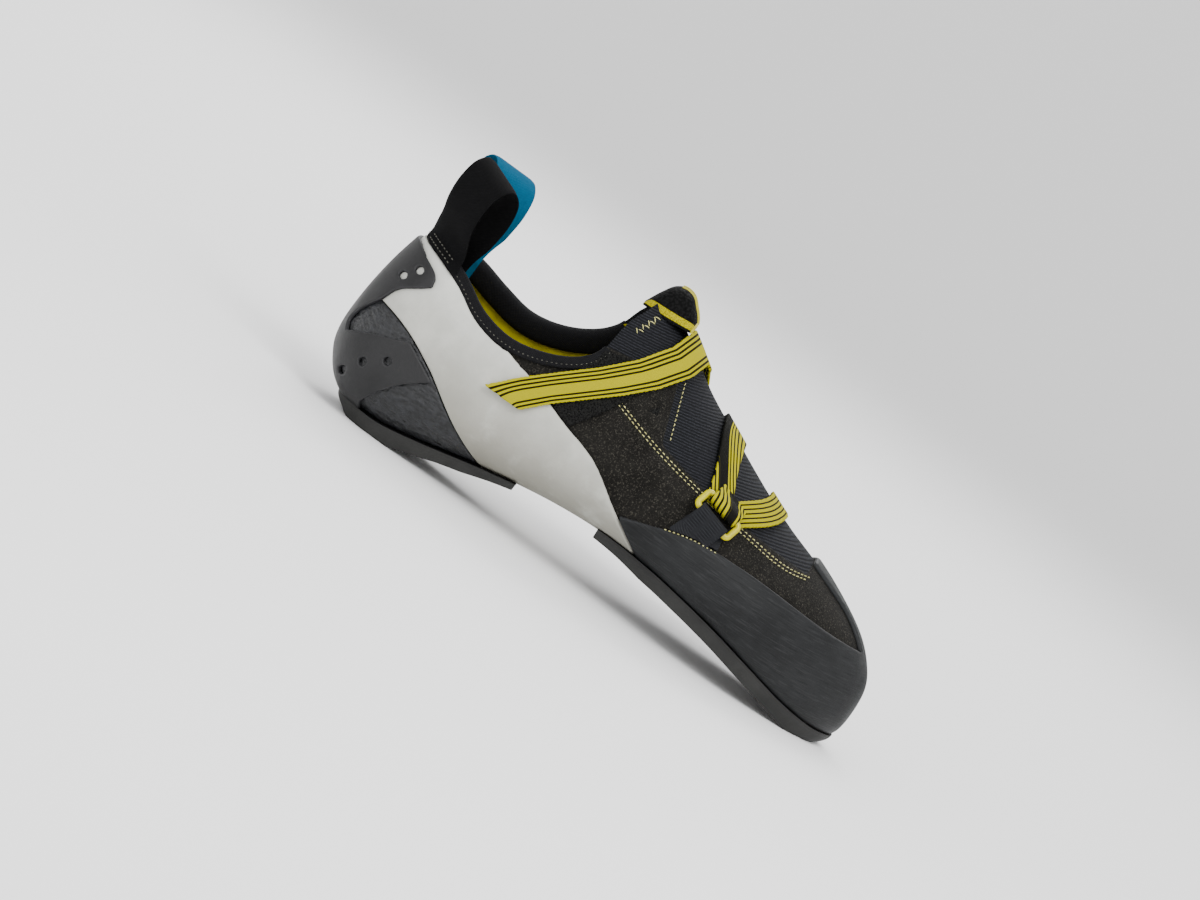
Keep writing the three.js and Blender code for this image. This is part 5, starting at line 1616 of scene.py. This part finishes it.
make_eyelet()
stitch_row("seam_keeper", seam((0.588, 0.268), (0.632, 0.292), (0.677, 0.302)), OVER_UPPER + 1.0, "keeper_lateral",
           pitch=1.7, length=0.9, radius=0.2)

FLECKS = material("dull thread", lambda t: {
    "Base_Color": t.mix(t.ramp(t.noise(place_of(t), 2.0), 0.35, 0.65), rgb(0x2A2A27), rgb(0x5A594F)),
    "Roughness": 0.85})
stitch_row("seam_binding", LEVELS[6], 1.42, "collar_binding", pitch=1.9, length=1.0, radius=0.16, finish=FLECKS)
near_loop = (last_point(*COLLAR_LINE.T)[:, 1] < 0) & (np.abs(last_point(*COLLAR_LINE.T)[:, 0] - 15.6) < 6.5)
for number, drop in enumerate((2, 6)):
    stitch_row(f"seam_loop_{number}", LEVELS[drop][near_loop], 3.25, "pull_loop_lateral", pitch=1.7, length=1.0,
               radius=0.22, finish=FLECKS)

# %% [markdown]
# ## Camera, floor and light
# The photo looks along the shoe's outer side from slightly above, and its frame is turned so that the toe
# points down. A long lens keeps the sides parallel.

# %% Camera
CAMERA_DISTANCE = 2000
FRAME_WIDTH = 462.0
LOOK_AT = np.array([77.8, 0, 45.0])
ELEVATION, ROLL = math.radians(7), math.radians(35.9)


def make_camera():
    data = bpy.data.cameras.new("camera")
    data.sensor_width = 36
    data.lens = 36 * CAMERA_DISTANCE / FRAME_WIDTH
    data.clip_start, data.clip_end = 0.1, 20
    camera = bpy.data.objects.new("camera", data)
    bpy.context.scene.collection.objects.link(camera)
    back = Vector((0, -math.cos(ELEVATION), math.sin(ELEVATION)))
    right, up = Vector((1, 0, 0)), back.cross(Vector((1, 0, 0)))
    rolled_right = right * math.cos(ROLL) + up * math.sin(ROLL)
    rolled_up = up * math.cos(ROLL) - right * math.sin(ROLL)
    spot = Vector(LOOK_AT * MM) + back * CAMERA_DISTANCE * MM
    turn = Matrix((rolled_right, rolled_up, back)).transposed().to_4x4()
    camera.matrix_world = Matrix.Translation(spot) @ turn
    bpy.context.scene.camera = camera
    print("camera height over the floor, mm:", round(spot.z * 1000))


make_camera()


# %% Floor and light
def make_floor():
    """A floor that bends up into a backdrop behind the shoe, in metres."""
    bend = [(1.6 + 1.4 * math.sin(a), 1.4 - 1.4 * math.cos(a)) for a in np.linspace(0, math.pi / 2, 40)]
    line = [(-5.0, 0.0)] + bend + [(3.0, 6.0)]
    mesh = bpy.data.meshes.new("floor")
    count = len(line)
    mesh.from_pydata([(x, y, z) for x in (-7.0, 7.0) for y, z in line], [],
                     [(i, count + i, count + i + 1, i + 1) for i in range(count - 1)])
    mesh.polygons.foreach_set("use_smooth", np.ones(count - 1, bool))
    floor = bpy.data.objects.new("floor", mesh)
    bpy.context.scene.collection.objects.link(floor)
    pale = bpy.data.materials.new("pale floor")
    pale.use_nodes = True
    shader = pale.node_tree.nodes["Principled BSDF"]
    shader.inputs["Base Color"].default_value = (0.93, 0.93, 0.93, 1)
    shader.inputs["Roughness"].default_value = 0.9
    mesh.materials.append(pale)
    floor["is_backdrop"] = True


def make_light(name, spot, size, power, target=(0.08, 0, 0.05)):
    data = bpy.data.lights.new(name, "AREA")
    data.shape, data.size, data.energy = "DISK", size, power
    light = bpy.data.objects.new(name, data)
    light.location = spot
    light.rotation_euler = (Vector(target) - Vector(spot)).to_track_quat("-Z", "Y").to_euler()
    bpy.context.scene.collection.objects.link(light)


def make_world():
    world = bpy.data.worlds.new("studio")
    world.use_nodes = True
    world.node_tree.nodes["Background"].inputs["Color"].default_value = (1, 1, 1, 1)
    world.node_tree.nodes["Background"].inputs["Strength"].default_value = 1.15
    bpy.context.scene.world = world


make_floor()
make_light("key", (0.5, -0.8, 1.1), 0.9, 18)
make_light("fill", (-0.7, -1.0, 0.5), 1.0, 6)
make_light("back", (0.0, 0.9, 0.9), 0.8, 10)
make_world()

# %% [markdown]
# ## Last lines
# The box round everything that is rendered, floor and backdrop aside, is measured.

# %% Measure the box
low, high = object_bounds()
